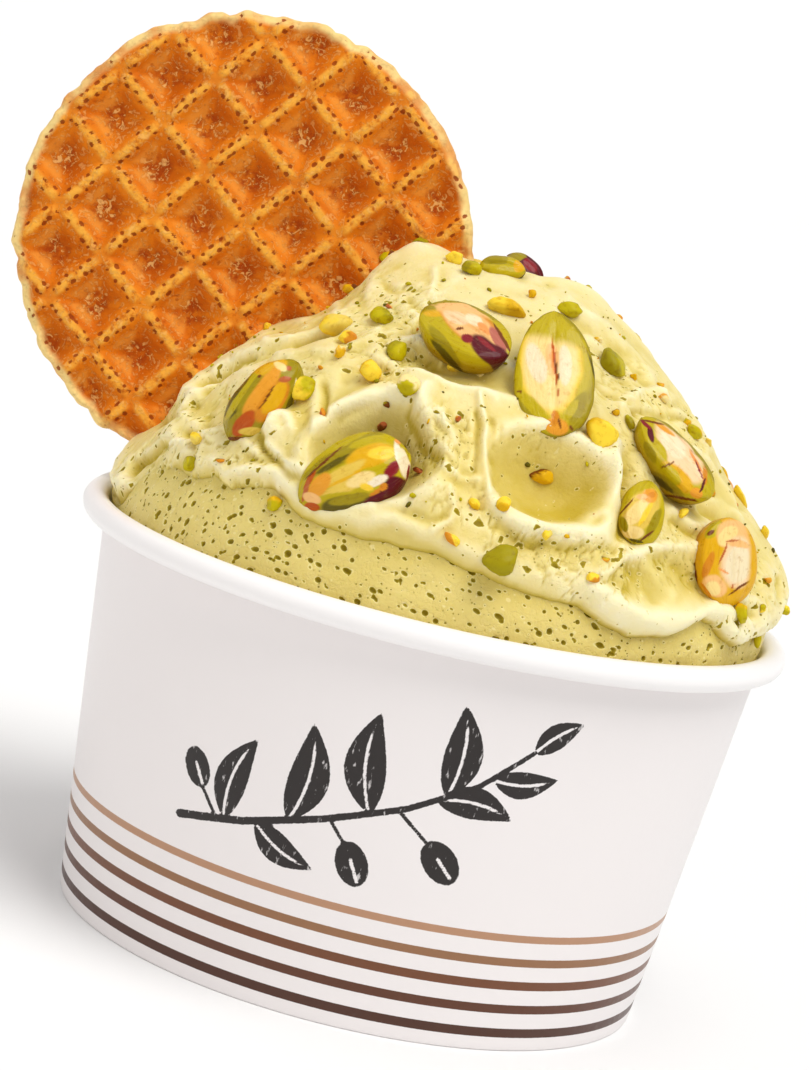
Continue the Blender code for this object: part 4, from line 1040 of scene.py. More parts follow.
def waferMaterial():
    shade = Shade("bakedWafer", Roughness=0.6, Specular_IOR_Level=0.10)
    where = shade.place()
    blotch = shade.noise(where, 5.5, 4.0)
    mottle = shade.noise(where, 1.3, 5.0, 0.68)
    speck = shade.noise(where, 0.45, 2.0)
    low, middle = shade.attribute("low"), shade.attribute("middle")
    flakes = shade.steps(shade.noise(where, 0.95, 4.0, 0.62, 1.4), 0.53, 0.61)
    baked = shade.mix(shade.steps(blotch, 0.32, 0.68), (0.65, 0.140, 0.002), (0.79, 0.215, 0.006))
    # slopes that face up paler and those that face down darker: painted light and shade
    baked = shade.mix(shade.steps(low, 0.0, 1.0, 0.0, 0.6), baked, (0.87, 0.34, 0.045))
    baked = shade.mix(shade.steps(low, 0.0, -1.0, 0.0, 0.5), baked, (0.48, 0.080, 0.0005))
    baked = shade.mix(shade.times(middle, shade.steps(mottle, 0.62, 0.38, 0.2, 1.0)),
                      baked, (0.40, 0.055, 0.0005))
    # paler ridge crests: partly their own paler colour, partly a painted highlight
    baked = shade.mix(shade.times(shade.attribute("paleCrestAndHighlight"), shade.steps(mottle, 0.34, 0.58, 0.35, 1.0)),
                      baked, (0.92, 0.42, 0.050))
    baked = shade.mix(shade.times(flakes, shade.steps(middle, 0.0, 1.0, 0.35, 0.75)), baked, (0.96, 0.54, 0.17))
    baked = shade.mix(shade.steps(mottle, 0.44, 0.30, 0.0, 0.6), baked, (0.43, 0.065, 0.0005))
    baked = shade.mix(shade.times(shade.attribute("rim"), shade.steps(blotch, 0.34, 0.56, 0.35, 1.0)),
                      baked, (0.94, 0.68, 0.26))
    hole = shade.plus(shade.attribute("hole"), shade.spread(speck, 1.4))
    baked = shade.mix(shade.steps(hole, -0.15, 0.3, 0.0, 0.88), baked, (0.31, 0.042, 0.001))
    relief = shade.plus(shade.noise(where, 0.8, 5.0, 0.68), shade.times(flakes, 0.3))
    shade.set(Base_Color=baked, Normal=shade.bump(relief, 0.24, 0.85))
    return shade.material


def makeWafer():
    s = wafer
    count = s["count"]
    reach, angle = discGrid(count)
    turn = np.radians(angle)
    flatRing = np.stack([np.cos(turn), np.sin(turn), 0 * turn], axis=-1)
    # scalloped outline: uneven bumps 3 to 5 mm long
    bump = 0.75 * np.abs(latticeNoise(flatRing * 30.0 / 3.4 + 9.0, 131))
    outline = s["radius"] + bump + 0.20 * layeredNoise(flatRing * 30.0, 1.6, 2, 132) - 0.25
    x, y = reach * outline * np.cos(turn), reach * outline * np.sin(turn)
    sides, shades = [], []
    for side in (1.0, -1.0):
        height, middle, paleCrestAndHighlight, holes, low = waferSide(x, y, side)
        sides.append(waferPlane(np.stack([x, y, side * height], axis=-1)).reshape(-1, 3))
        shades.append([part.ravel() for part in (middle, paleCrestAndHighlight, holes, ease(reach, 0.962, 0.99), low)])
    quads, border = discQuads(count)
    top, low = sides[0][border], sides[1][border]
    psi = np.linspace(0.0, np.pi, s["edgeRows"] + 2)[1:-1][:, None, None]
    middle, half = (top + low) / 2.0, (top - low) / 2.0
    outward = middle - np.array(s["centre"])
    outward = outward / np.linalg.norm(outward, axis=-1, keepdims=True)
    walls = middle + half * np.cos(psi) + outward * 0.55 * np.sin(psi)
    first = count * count
    flat = np.concatenate([sides[0], sides[1], walls.reshape(-1, 3)])
    edgeCount = s["edgeRows"] * len(border)
    rings = np.concatenate([border[None], 2 * first + np.arange(edgeCount).reshape(-1, len(border)),
                            (border + first)[None]])
    onEdge = dict(middle=0.0, paleCrestAndHighlight=0.0, hole=-1.0, rim=1.0, low=0.0)
    values = {label: np.concatenate([shades[0][k], shades[1][k], np.full(edgeCount, onEdge[label])])
              for k, label in enumerate(onEdge)}
    disc = buildMesh("waferDisc", flat, np.concatenate([quads, quads[:, ::-1] + first, bandQuads(rings)]),
                     material=waferMaterial(), attributes=values)
    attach(disc, "root")
    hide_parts("wafer")
    print("wafer made")


# ---- shelled pistachios ----

# azimuth, elevation, lift, facing azimuth and elevation, turn, length, width, face height, belly depth,
# and slimness of the far end
kernels = {
    "pistachio_01": (-134.5, 36.5, 1.2, -116, 24, 70, 12.6, 7.2, 3.2, 3.4, 0.02),
    "pistachio_02": (-109.2, 29.8, 2.6, -99, 24, 40, 14.4, 9.2, 3.2, 4.0, -0.12),
    "pistachio_03": (-99, 60, 2.4, -96, 56, -24, 12.9, 8.8, 1.0, 5.2, 0.04),
    "pistachio_04": (-71.5, 56, 2.8, -90, 34, 101, 17.4, 9.9, 1.0, 5.2, 0.16),
    "pistachio_05": (-42.3, 42.8, 1.8, -52, 48, -58, 13.2, 7.6, 0.9, 4.8, -0.08),
    "pistachio_06": (-53.5, 34, 1.2, -64, 26, 76, 8.4, 5.6, 1.6, 2.8, 0.12),
    "pistachio_07": (-34, 27, 2.0, -52, 14, 96, 11.2, 9.4, 1.1, 5.0, 0),
    "pistachio_08": (-101, 84.0, 0.6, -96, 52, 14, 6.2, 3.6, 1.4, 1.9, 0.1),
    "pistachio_09": (52, 86.5, 0.4, -70, 55, -44, 5.8, 4.0, 1.6, 2.0, 0.1),
    "pistachio_10": (102, 36, 2.4, 98, 30, 35, 16.4, 9.4, 3.0, 4.2, 0.16),
    "pistachio_11": (60, 50, 2.0, 66, 40, -50, 15.4, 9.0, 1.0, 4.8, 0.14),
    "pistachio_12": (132, 31, 1.6, 124, 24, 70, 12.6, 7.8, 1.0, 4.2, 0.08),
    "pistachio_13": (84, 66, 2.0, 88, 52, 12, 14.2, 8.4, 1.0, 4.8, 0.14),
    "pistachio_14": (33, 27, 1.6, 40, 24, -70, 11.4, 8.0, 2.8, 3.4, 0.12),
}
# deep, the darkest olive, stands partly for painted shade on the nuts' lower sides
nutColours = dict(
    yolk=(0.94, 0.67, 0.045), yellow=(0.78, 0.58, 0.10), burnt=(0.50, 0.085, 0.003), white=(0.93, 0.87, 0.75),
    mauve=(0.50, 0.15, 0.12), green=(0.35, 0.285, 0.002), deep=(0.12, 0.098, 0.0005), lime=(0.53, 0.435, 0.002),
    gold=(0.76, 0.44, 0.006), amber=(0.68, 0.26, 0.012), orange=(0.80, 0.36, 0.03), brown=(0.18, 0.045, 0.002),
    maroon=(0.105, 0.002, 0.010), wine=(0.25, 0.010, 0.020), cream=(0.93, 0.75, 0.33), pink=(0.92, 0.56, 0.24),
    blush=(0.93, 0.70, 0.46), rose=(0.88, 0.36, 0.11), red=(0.50, 0.13, 0.035), pale=(0.90, 0.82, 0.62))
# painted in order: colour, place along (-1 to 1), place round in degrees (90 is the face), half length, half turn
kernelSkins = {
    "pistachio_01": ("lime", [
        ("green", 0, -20, 1.3, 50), ("gold", 0.55, 80, 0.5, 60), ("amber", -0.15, 96, 0.75, 26)]),
    "pistachio_02": ("lime", [("green", 0.1, 14, 1.1, 46), ("deep", 0, -30, 1.2, 22), ("gold", -0.3, 88, 0.8, 26)]),
    "pistachio_03": ("green", [
        ("deep", 0, 215, 1.3, 34), ("lime", -0.55, 150, 0.4, 30), ("pink", -0.1, 72, 0.82, 42)]),
    "pistachio_04": ("green", [("deep", 0, -58, 1.2, 26), ("deep", 0, 238, 1.2, 26), ("lime", 0, 90, 1.2, 80)]),
    "pistachio_05": ("green", [
        ("deep", 0, -50, 1.3, 26), ("lime", 0.2, -10, 0.8, 30), ("blush", 0.05, 94, 0.86, 60)]),
    "pistachio_06": ("lime", [("cream", 0.0, 76, 0.55, 26), ("green", 0, 0, 1.1, 44), ("lime", -0.4, 60, 0.2, 20)]),
    "pistachio_07": ("gold", [
        ("orange", 0.1, 44, 0.9, 26), ("lime", 0.75, 40, 0.3, 50), ("pale", -0.85, 70, 0.2, 60)]),
    "pistachio_08": ("lime", [("green", -0.3, 60, 0.6, 50), ("gold", 0.7, 90, 0.3, 60), ("deep", 0, 220, 1.2, 40)]),
    "pistachio_09": ("maroon", [("wine", 0.2, 90, 0.4, 30), ("green", -0.7, 90, 0.4, 60)]),
    "pistachio_10": ("lime", [
        ("green", 0, 0, 1.2, 60), ("deep", 0, -50, 1.2, 26), ("wine", -0.7, 120, 0.36, 50),
        ("maroon", -0.8, 150, 0.3, 40), ("gold", 0.5, 80, 0.5, 40), ("orange", 0.9, 90, 0.16, 80)]),
    "pistachio_11": ("green", [
        ("lime", 0, 90, 1.2, 80), ("cream", 0, 90, 0.84, 62), ("blush", 0.1, 90, 0.4, 22), ("red", 0, 90, 0.6, 3),
        ("orange", 0.88, 90, 0.12, 60), ("deep", 0, 240, 1.2, 30)]),
    "pistachio_12": ("green", [
        ("blush", 0, 90, 0.84, 62), ("pale", 0.2, 80, 0.3, 20), ("brown", 0, 158, 1.0, 5),
        ("amber", -0.9, 90, 0.13, 80), ("wine", 0.7, 60, 0.16, 24)]),
    "pistachio_13": ("green", [
        ("lime", 0, 90, 1.2, 80), ("cream", 0, 90, 0.82, 62), ("rose", 0.1, 88, 0.3, 12),
        ("red", 0.05, 90, 0.6, 2.6), ("maroon", -0.85, 90, 0.18, 60), ("deep", 0, 240, 1.2, 30)]),
    "pistachio_14": ("lime", [
        ("green", 0, -10, 1.2, 56), ("amber", 0.1, 110, 0.6, 30), ("brown", 0.1, 92, 0.4, 3),
        ("orange", -0.8, 90, 0.2, 60), ("deep", 0, 215, 1.2, 30)]),
}
# the front of the nuts painted as seen from in front, some patches being painted highlights and painted shade: colour,
# mm right of the axis, mm high, half length, half width, turn
kernelFronts = {
    "pistachio_01": ("green", [
        ("deep", -31.7, 68.0, 4.8, 0.55, 72), ("lime", -30.6, 69.2, 4.6, 0.5, 68),
        ("deep", -29.9, 69.4, 4.2, 0.22, 68), ("green", -29.4, 70.4, 3.8, 0.5, 68),
        ("gold", -27.8, 73.8, 2.4, 1.2, 28), ("orange", -28.1, 70.2, 4.3, 1.15, 68),
        ("burnt", -29.4, 65.5, 2.2, 1.1, 62), ("green", -24.7, 70.3, 2.6, 0.75, 78),
        ("amber", -26.4, 69.4, 3.4, 1.5, 68), ("gold", -26.3, 69.8, 2.6, 1.1, 68),
        ("deep", -24.2, 69.8, 2.1, 0.32, 80), ("pale", -23.8, 71.4, 1.8, 0.2, 100),
        ("brown", -27.3, 69.7, 2.0, 0.15, 70), ("cream", -26.5, 74.1, 1.0, 0.5, -20),
        ("red", -25.5, 72.6, 0.9, 0.42, 25), ("red", -25.3, 74.1, 0.35, 0.3, 0),
        ("brown", -28.9, 72.15, 0.24, 0.22, 0), ("yellow", -28.2, 64.7, 1.8, 0.55, 15),
        ("brown", -29.3, 63.4, 2.6, 0.3, 10)]),
    "pistachio_02": ("lime", [
        ("green", -15.6, 64.6, 6.4, 1.1, 44), ("lime", -12.9, 67.1, 2.8, 0.6, 28),
        ("deep", -16.6, 63.2, 2.8, 0.4, 45), ("gold", -12.2, 65.3, 3.5, 1.6, 30),
        ("yolk", -10.7, 66.1, 2.0, 0.9, 20), ("yellow", -15.4, 61.9, 3.9, 0.9, 44),
        ("yellow", -14.3, 60.6, 3.8, 0.9, 38), ("cream", -12.6, 61.9, 2.1, 0.9, 35),
        ("gold", -14.9, 61.4, 3.4, 0.22, 40), ("orange", -17.8, 59.7, 2.3, 1.1, 66),
        ("burnt", -19.2, 60.2, 1.6, 0.35, 72), ("red", -19.4, 58.6, 1.6, 0.3, 85),
        ("lime", -15.6, 58.6, 3.1, 0.7, 25), ("pink", -18.4, 57.9, 1.3, 0.75, -10),
        ("burnt", -18.1, 56.8, 1.1, 0.5, 0), ("deep", -13.7, 58.2, 3.6, 1.3, 25),
        ("green", -13.4, 59.0, 2.9, 0.7, 26), ("maroon", -8.8, 60.2, 4.2, 1.5, 45),
        ("maroon", -7.9, 62.2, 1.6, 1.5, 0), ("wine", -8.9, 64.3, 1.5, 0.85, 65),
        # white spots and the pale one beside them: painted highlights
        ("white", -8.6, 66.6, 1.8, 0.45, -65), ("pale", -7.5, 65.4, 2.2, 0.75, -65),
        ("white", -10.4, 62.3, 1.6, 0.6, 40), ("yolk", -11.6, 61.1, 0.95, 0.5, 0),
        ("amber", -9.5, 61.7, 0.7, 0.5, 50), ("amber", -10.2, 60.9, 1.2, 0.25, 50),
        ("rose", -9.0, 68.1, 0.5, 0.3, -20), ("wine", -6.5, 63.8, 1.7, 0.25, 100),
        ("brown", -16.6, 56.3, 3.6, 0.25, 8), ("brown", -17.9, 63.0, 3.6, 0.16, 56)]),
    "pistachio_03": ("lime", [
        ("gold", -7.4, 86.7, 2.8, 1.0, 25), ("green", -5.8, 81.8, 3.8, 0.8, -40),
        ("deep", -5.2, 80.5, 3.4, 0.5, -34), ("amber", -3.2, 85.5, 5.4, 2.3, -25),
        ("pink", -3.3, 85.4, 5.0, 1.95, -25), ("blush", -5.4, 86.1, 1.9, 0.9, -12),
        ("pale", -3.0, 86.3, 1.3, 0.8, -20), ("rose", -1.4, 85.4, 1.2, 0.5, -30),
        ("mauve", 0.7, 84.5, 2.0, 0.7, -44), ("maroon", -0.2, 82.6, 3.0, 1.4, -28),
        ("maroon", 1.6, 81.8, 2.4, 1.5, -45), ("wine", -3.3, 83.6, 0.8, 0.6, 0),
        ("wine", -0.6, 83.5, 1.6, 0.35, -25), ("brown", -4.6, 84.7, 0.6, 0.2, 20),
        ("brown", 1.2, 84.8, 2.4, 0.22, -46)]),
    "pistachio_04": ("green", [
        ("lime", 8.6, 82.0, 8.4, 5.4, -77), ("yolk", 8.2, 83.0, 7.0, 4.3, -77), ("cream", 8.2, 83.0, 6.4, 3.8, -77),
        ("pale", 6.4, 82.6, 2.8, 1.3, -60), ("pale", 10.1, 83.2, 2.8, 0.9, -74), ("lime", 4.2, 80.2, 3.0, 0.8, -70),
        ("lime", 7.0, 76.4, 3.6, 1.5, -32), ("green", 6.4, 75.8, 3.4, 0.8, -38),
        ("green", 13.2, 78.2, 2.4, 0.9, 80), ("lime", 12.4, 77.6, 1.6, 0.6, 70),
        ("deep", 12.6, 86.0, 4.2, 0.28, -63), ("orange", 7.3, 88.7, 1.4, 0.9, 80),
        ("amber", 7.6, 89.4, 0.8, 0.45, 0), ("orange", 11.0, 75.0, 1.7, 1.2, 0),
        ("amber", 10.6, 76.2, 1.0, 0.5, -60), ("pink", 8.3, 83.6, 2.3, 0.9, -70),
        ("rose", 8.5, 83.4, 1.5, 0.4, -68), ("burnt", 8.9, 82.8, 4.9, 0.16, -70),
        ("brown", 9.2, 82.4, 1.4, 0.16, -66), ("brown", 11.3, 75.5, 0.8, 0.16, -62),
        ("brown", 12.9, 75.3, 0.45, 0.2, -50), ("brown", 4.0, 86.3, 1.8, 0.2, 58),
        ("brown", 5.1, 78.4, 0.4, 0.18, 0)]),
    "pistachio_05": ("lime", [
        ("blush", 27.7, 75.6, 5.2, 2.1, -42), ("pale", 26.6, 76.4, 2.4, 1.3, -38),
        ("lime", 24.6, 75.2, 2.2, 1.1, -42), ("green", 23.9, 74.6, 1.7, 0.6, -48),
        ("gold", 28.2, 72.2, 2.9, 1.3, -30), ("lime", 27.2, 72.4, 1.9, 1.0, -30),
        ("green", 27.2, 71.0, 2.9, 0.7, -26), ("deep", 26.6, 70.9, 1.9, 0.4, -28),
        ("brown", 26.6, 73.6, 1.1, 0.14, 40), ("lime", 22.2, 77.0, 1.5, 1.1, 20),
        ("maroon", 23.4, 77.0, 1.2, 0.4, -62), ("wine", 22.4, 78.1, 1.0, 0.25, -30),
        ("orange", 25.0, 78.1, 1.8, 0.3, -20), ("rose", 29.9, 75.2, 2.3, 0.2, -48),
        ("amber", 31.7, 73.6, 1.7, 0.35, -80), ("wine", 30.8, 73.9, 1.6, 0.12, -56),
        ("orange", 31.2, 70.8, 0.9, 0.8, 0), ("brown", 23.3, 78.6, 1.6, 0.16, 0),
        ("brown", 27.4, 77.4, 3.2, 0.14, -33), ("maroon", 31.7, 72.0, 1.1, 0.2, 82),
        ("brown", 29.2, 69.6, 2.6, 0.2, 4)]),
    "pistachio_06": ("lime", [
        ("yellow", 24.6, 66.6, 3.6, 2.1, 68), ("cream", 24.1, 66.4, 2.4, 1.1, 62),
        ("yolk", 25.3, 66.6, 2.0, 0.4, 76), ("cream", 24.3, 63.6, 1.5, 0.9, 10),
        ("green", 26.7, 65.6, 2.2, 0.6, 80), ("green", 22.8, 64.4, 1.1, 0.5, -62),
        ("orange", 25.3, 69.0, 1.1, 0.9, -30), ("amber", 25.5, 69.2, 0.5, 0.4, 0),
        ("pink", 24.3, 68.6, 0.8, 0.4, 20), ("brown", 26.2, 63.6, 1.3, 0.16, 52),
        ("brown", 22.6, 66.8, 1.6, 0.12, 62), ("deep", 25.0, 62.6, 1.0, 0.2, 0)]),
    "pistachio_07": ("gold", [
        ("gold", 34.4, 63.8, 4.4, 1.3, 86), ("lime", 34.6, 66.6, 1.6, 0.8, 60), ("amber", 35.1, 61.8, 2.0, 0.6, 84),
        ("pink", 37.4, 66.6, 2.5, 2.2, 10), ("cream", 36.6, 66.2, 1.7, 1.1, 60),
        ("blush", 38.9, 63.0, 3.5, 2.5, 98), ("pale", 38.9, 62.8, 2.6, 1.9, 96), ("pink", 38.2, 65.4, 1.6, 0.5, 0),
        ("pink", 36.6, 59.2, 1.8, 1.4, -20), ("cream", 36.5, 58.8, 1.1, 0.9, -20),
        ("red", 36.6, 63.8, 1.7, 0.13, 82), ("red", 37.4, 65.6, 0.9, 0.13, 14),
        ("rose", 37.3, 61.5, 0.9, 0.16, -14), ("brown", 34.3, 66.1, 0.6, 0.28, 48),
        ("gold", 41.1, 64.6, 0.7, 0.5, 90), ("wine", 41.1, 63.3, 0.65, 0.55, 90),
        ("rose", 41.0, 63.4, 0.3, 0.28, 0), ("brown", 40.3, 60.2, 2.5, 0.15, 48),
        ("red", 39.0, 59.8, 0.4, 0.15, 70), ("brown", 33.6, 60.4, 2.0, 0.15, -66),
        ("brown", 41.9, 62.9, 1.1, 0.12, 80), ("brown", 39.9, 67.2, 1.6, 0.12, -48),
        ("amber", 35.6, 58.4, 1.3, 0.2, -40)]),
}
kernelShape = dict(rows=112, columns=140, ridge=0.10, rough=0.10)


def kernelMaterial():
    shade = Shade("pistachioKernel", Roughness=0.3, Specular_IOR_Level=0.13, Subsurface_Weight=0.06,
                  Subsurface_Scale=0.6 * mm, Subsurface_Radius=(1.0, 0.8, 0.2), Coat_Weight=0.14, Coat_Roughness=0.08)
    where = shade.place()
    skin = shade.mix(1.0, shade.attribute("skin", colour=True), (0.97, 0.90, 0.76), "MULTIPLY")
    streak = shade.noise(shade.attribute("grain", colour=True), 0.55, 4.0, 0.6, 0.3)
    mottle = shade.noise(where, 1.1, 4.0, 0.6)
    skin = shade.darken(shade.steps(streak, 0.48, 0.30, 0.0, 0.36), skin, (0.74, 0.60, 0.34))
    skin = shade.mix(shade.steps(streak, 0.54, 0.72, 0.0, 0.3), skin, shade.mix(0.2, skin, (0.95, 0.80, 0.30)))
    skin = shade.darken(shade.steps(mottle, 0.44, 0.30, 0.0, 0.4), skin, (0.72, 0.55, 0.35))
    relief = shade.plus(shade.noise(where, 0.6, 4.0), streak)
    shade.set(Base_Color=skin, Roughness=shade.steps(mottle, 0.2, 0.8, 0.24, 0.40),
              Normal=shade.bump(relief, 0.16, 0.6))
    return shade.material


def plainSkin(colour, like):
    return np.broadcast_to(np.array(nutColours[colour]), (*like.shape, 3)).copy()


def paintOver(skin, colour, reach, inside, outside):
    # full colour where the reach is under inside, none over outside
    share = 1.0 - ease(reach, inside, outside)
    return skin + share[..., None] * (np.array(nutColours[colour]) - skin)


def paintedFront(points, centre, skin, wander, base, patches):
    # the drawn patches laid on the side that is seen from in front, with slightly uneven edges
    x, z, _ = seenFlat(points)
    toEye = eye - centre
    front = ease((points - centre) @ (toEye / np.linalg.norm(toEye)), -1.7, -0.8)[..., None]
    painted = plainSkin(base, wander)
    for colour, x0, z0, long, wide, turn in patches:
        along, across = turnedOffsets(x, z, x0, z0, turn)
        reach = np.hypot(along / long, (across + 0.12 * wander) / wide) + 0.05 * wander
        painted = paintOver(painted, colour, reach, 0.84, 1.08)
    return skin + front * (painted - skin)


def skinRound(node, u, degrees, wander):
    # the drawn patches laid round the nut, by place along and round it
    base, patches = kernelSkins[node]
    skin = plainSkin(base, wander)
    for colour, placeU, placeV, halfU, halfV in patches:
        offV = (degrees - placeV + 180.0) % 360.0 - 180.0
        skin = paintOver(skin, colour, np.hypot((u - placeU) / halfU, offV / halfV) + 0.22 * wander, 0.86, 1.04)
    return skin


def withEnds(values):
    # a colour for each point of the grid, then for its two ends, with an alpha of 1
    flat = np.concatenate([values.reshape(-1, 3), values[0, :1], values[-1, :1]])
    return np.concatenate([flat, np.ones((len(flat), 1))], axis=-1)


def makeKernels():
    material = kernelMaterial()
    s = kernelShape
    for number, (node, seat) in enumerate(kernels.items()):
        az, el, lift, faceAz, faceEl, turn, length, width, face, belly, taper = seat
        normal = ray(faceAz, faceEl)
        level = np.array([-np.sin(np.radians(faceAz)), np.cos(np.radians(faceAz)), 0.0])
        rise = np.cross(normal, level)
        a = np.radians(turn)
        along = np.cos(a) * level + np.sin(a) * rise
        across = np.cross(normal, along)
        azEl = np.array([float(az)]), np.array([float(el)])
        centre = moundPoint(*azEl, moundRadius(*azEl))[0] + lift * normal
        # rings along the length: a rounded spindle, slimmer at one end, flatter on a split kernel's face
        u = np.sin(np.radians(np.linspace(-90.0, 90.0, s["rows"] + 2)[1:-1]))[:, None]
        v = np.linspace(0.0, 2.0 * np.pi, s["columns"], endpoint=False)[None, :]
        swell = (1.0 - np.abs(u) ** 2.5) ** 0.58 * (1.0 - taper * u)
        flat = 0.55 if face < 1.5 else 1.0
        high = np.where(np.sin(v) > 0.0, face * np.abs(np.sin(v)) ** flat, -belly * np.abs(np.sin(v)))
        section = np.stack([(u + 0 * v) * length / 2.0, width / 2.0 * swell * np.cos(v), high * swell], axis=-1)
        spot = section + 31.0 * number
        relief = s["rough"] * layeredNoise(spot, 2.6, 3, 141)
        lengthwise = np.stack([0 * v + u * 0.8, 0 * u + np.cos(v) * 2.6, 0 * u + np.sin(v) * 2.6], axis=-1)
        ridges = latticeNoise(lengthwise + number * 3.1, 142)
        if face >= 1.5:
            relief = relief + 2.2 * s["ridge"] * ridges
        else:
            groove = np.exp(-(section[..., 1] / 0.35) ** 2) * (np.sin(v) > 0) * ease(1 - np.abs(u), 0.1, 0.5)
            relief = relief + s["ridge"] * ridges - 0.35 * groove
        radial = section * np.array([0.25, 1.0, 1.0])
        section = section + relief[..., None] * radial / np.linalg.norm(radial, axis=-1, keepdims=True)
        points = centre + section @ np.stack([along, across, normal])
        wander = layeredNoise(spot, 2.2, 3, 151)
        skin = skinRound(node, u, np.degrees(v) + 0 * u, wander)
        if node in kernelFronts:
            skin = paintedFront(points, centre, skin, wander, *kernelFronts[node])
        low = ease(-section[..., 2], 0.1, 1.9) + 0.0 * u      # painted shade: the flank darkens towards the cream
        skin = skin * (1.0 - 0.55 * low[..., None] * np.array([0.55, 0.78, 0.9]))
        grain = np.stack([u * length * 0.14 + 0 * v, 0.5 * width * np.cos(v) + 0 * u,
                          0.5 * width * np.sin(v) + 9.0 * number + 0 * u], axis=-1) * mm
        rows, columns = s["rows"], s["columns"]
        ends = centre + np.array([[-length / 2.0], [length / 2.0]]) * along
        kernel = buildMesh("kernel" + node[-2:], np.concatenate([points.reshape(-1, 3), ends]),
                           gridFaces(rows, columns), endFans(rows, columns), material,
                           dict(skin=withEnds(skin), grain=withEnds(grain)))
        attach(kernel, "root")
        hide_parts(node)
    print("pistachios made")


# ---- chopped pistachio ----

# as seen from in front: mm right of the axis, mm high, length, width, turn in degrees, colour, and the colour of the
# far side, which on the yellow nuggets stands partly for painted shade
nuggets = [
    (-20.3, 80.6, 4.6, 3.8, 80, "yolk", "yellow"), (-18.6, 79.6, 2.6, 1.8, 20, "yolk", "amber"),
    (-18.9, 77.3, 2.0, 1.5, -70, "cream", "gold"), (-22.5, 71.2, 3.6, 3.2, 60, "yolk", "lime"),
    (-24.2, 74.2, 1.8, 1.2, 40, "yolk", "lime"), (-14.5, 75.9, 3.0, 2.9, 20, "yolk", "gold"),
    (-9.2, 75.2, 3.0, 2.6, -20, "cream", "lime"), (0.9, 88.2, 4.9, 3.0, -10, "yolk", "gold"),
    (16.6, 74.9, 4.0, 4.3, 70, "yolk", "gold"), (-3.8, 79.1, 2.1, 1.8, 40, "yolk", "yellow"),
    (-0.6, 79.2, 1.3, 0.9, 0, "pale", "cream"), (28.4, 78.2, 2.8, 1.8, -45, "lime", "gold"),
    (32.6, 71.4, 2.0, 2.0, 30, "lime", "orange"), (37.4, 71.8, 4.6, 1.4, -52, "yolk", "gold"),
    (40.9, 67.6, 3.4, 1.2, -38, "yolk", "lime"), (-7.2, 92.9, 3.2, 2.0, 10, "yolk", "lime"),
    (6.5, 62.8, 2.0, 1.7, 30, "yolk", "gold"), (13.1, 60.6, 1.2, 2.1, 10, "yolk", "yellow"),
    (-24.0, 56.4, 2.4, 1.9, 10, "lime", "gold"), (-35.6, 62.3, 1.5, 2.2, 70, "yolk", "yellow"),
    (40.4, 56.2, 2.8, 1.9, 100, "lime", "gold"), (1.2, 57.1, 2.6, 1.3, -42, "yolk", "amber"),
    (2.8, 62.2, 1.7, 1.3, -20, "yolk", "gold"), (20.4, 56.3, 2.0, 1.4, 20, "yolk", "amber"),
    (21.3, 58.8, 1.7, 0.9, 10, "orange", "lime"), (29.8, 67.5, 1.8, 1.2, 40, "yolk", "gold"),
    (42.6, 57.5, 1.2, 0.9, 80, "yolk", "lime"), (45.6, 54.2, 2.6, 1.0, 85, "lime", "gold"),
    (-8.6, 75.9, 1.6, 0.8, 0, "orange", "gold"), (23.4, 81.4, 1.8, 1.0, -35, "orange", "cream"),
    (22.6, 83.0, 1.2, 0.8, -30, "orange", "gold"), (43.0, 61.6, 1.3, 0.9, -20, "orange", "gold"),
    (46.4, 58.2, 1.2, 1.6, 30, "yolk", "lime"), (30.6, 77.2, 1.3, 0.9, -50, "yolk", "yellow")]
peas = [
    (15.9, 84.3, 3.6, 4.4, 20, "green", "lime"), (-11.6, 79.4, 2.7, 3.6, 25, "lime", "green"),
    (-14.9, 83.6, 3.2, 2.8, 0, "lime", "green"), (8.2, 55.7, 5.0, 3.8, 25, "green", "green"),
    (20.1, 77.7, 1.2, 2.0, 10, "green", "lime"), (9.5, 92.2, 3.6, 2.4, -20, "lime", "green"),
    (-36.0, 58.8, 2.0, 2.0, 30, "lime", "green"), (-4.8, 92.0, 2.6, 2.2, 0, "green", "lime"),
    (0.6, 93.4, 2.6, 1.8, 10, "green", "lime"), (27.4, 79.4, 1.4, 1.0, 80, "lime", "gold")]
browns = [
    (10.8, 67.9, 3.5, 1.9, -5, "gold", "brown"), (-11.5, 69.3, 1.4, 1.0, 50, "red", "brown"),
    (-5.4, 64.9, 1.6, 0.8, -15, "brown", "red"), (-14.4, 85.4, 1.7, 0.8, -10, "red", "orange"),
    (18.1, 78.5, 1.3, 0.8, -10, "gold", "brown"), (19.1, 83.3, 0.8, 1.2, 20, "gold", "brown"),
    (-1.9, 72.8, 0.8, 0.8, 0, "red", "orange"), (-19.6, 69.4, 0.8, 1.6, 30, "amber", "red"),
    (-20.4, 87.4, 2.6, 1.7, 45, "orange", "gold"), (-32.0, 60.2, 1.8, 0.5, 15, "amber", "brown"),
    (-11.2, 71.6, 0.9, 0.7, 0, "green", "brown"), (-21.0, 74.9, 1.0, 0.6, 0, "amber", "gold"),
    (3.6, 91.2, 1.2, 1.0, 30, "gold", "amber"), (13.6, 87.6, 1.4, 0.8, -30, "cream", "gold"),
    (-7.9, 67.2, 0.5, 0.9, 20, "brown", "deep")]
crumbShape = dict(rows=18, columns=26, planes=9, sink=0.22, specks=320, speckRows=4, speckColumns=7)
# name, the drawn ones, how many more behind, the size and the colours of those
crumbKinds = [
    ("nutNuggets", nuggets, 30, 1.0, ["yolk", "yellow", "gold", "lime"]),
    ("greenChips", peas, 12, 1.0, ["green", "lime"]),
    ("brownChips", browns, 14, 0.5, ["gold", "red", "brown", "amber"])]
speckColours = ["green", "lime", "gold", "lime", "green", "deep", "green", "amber"]


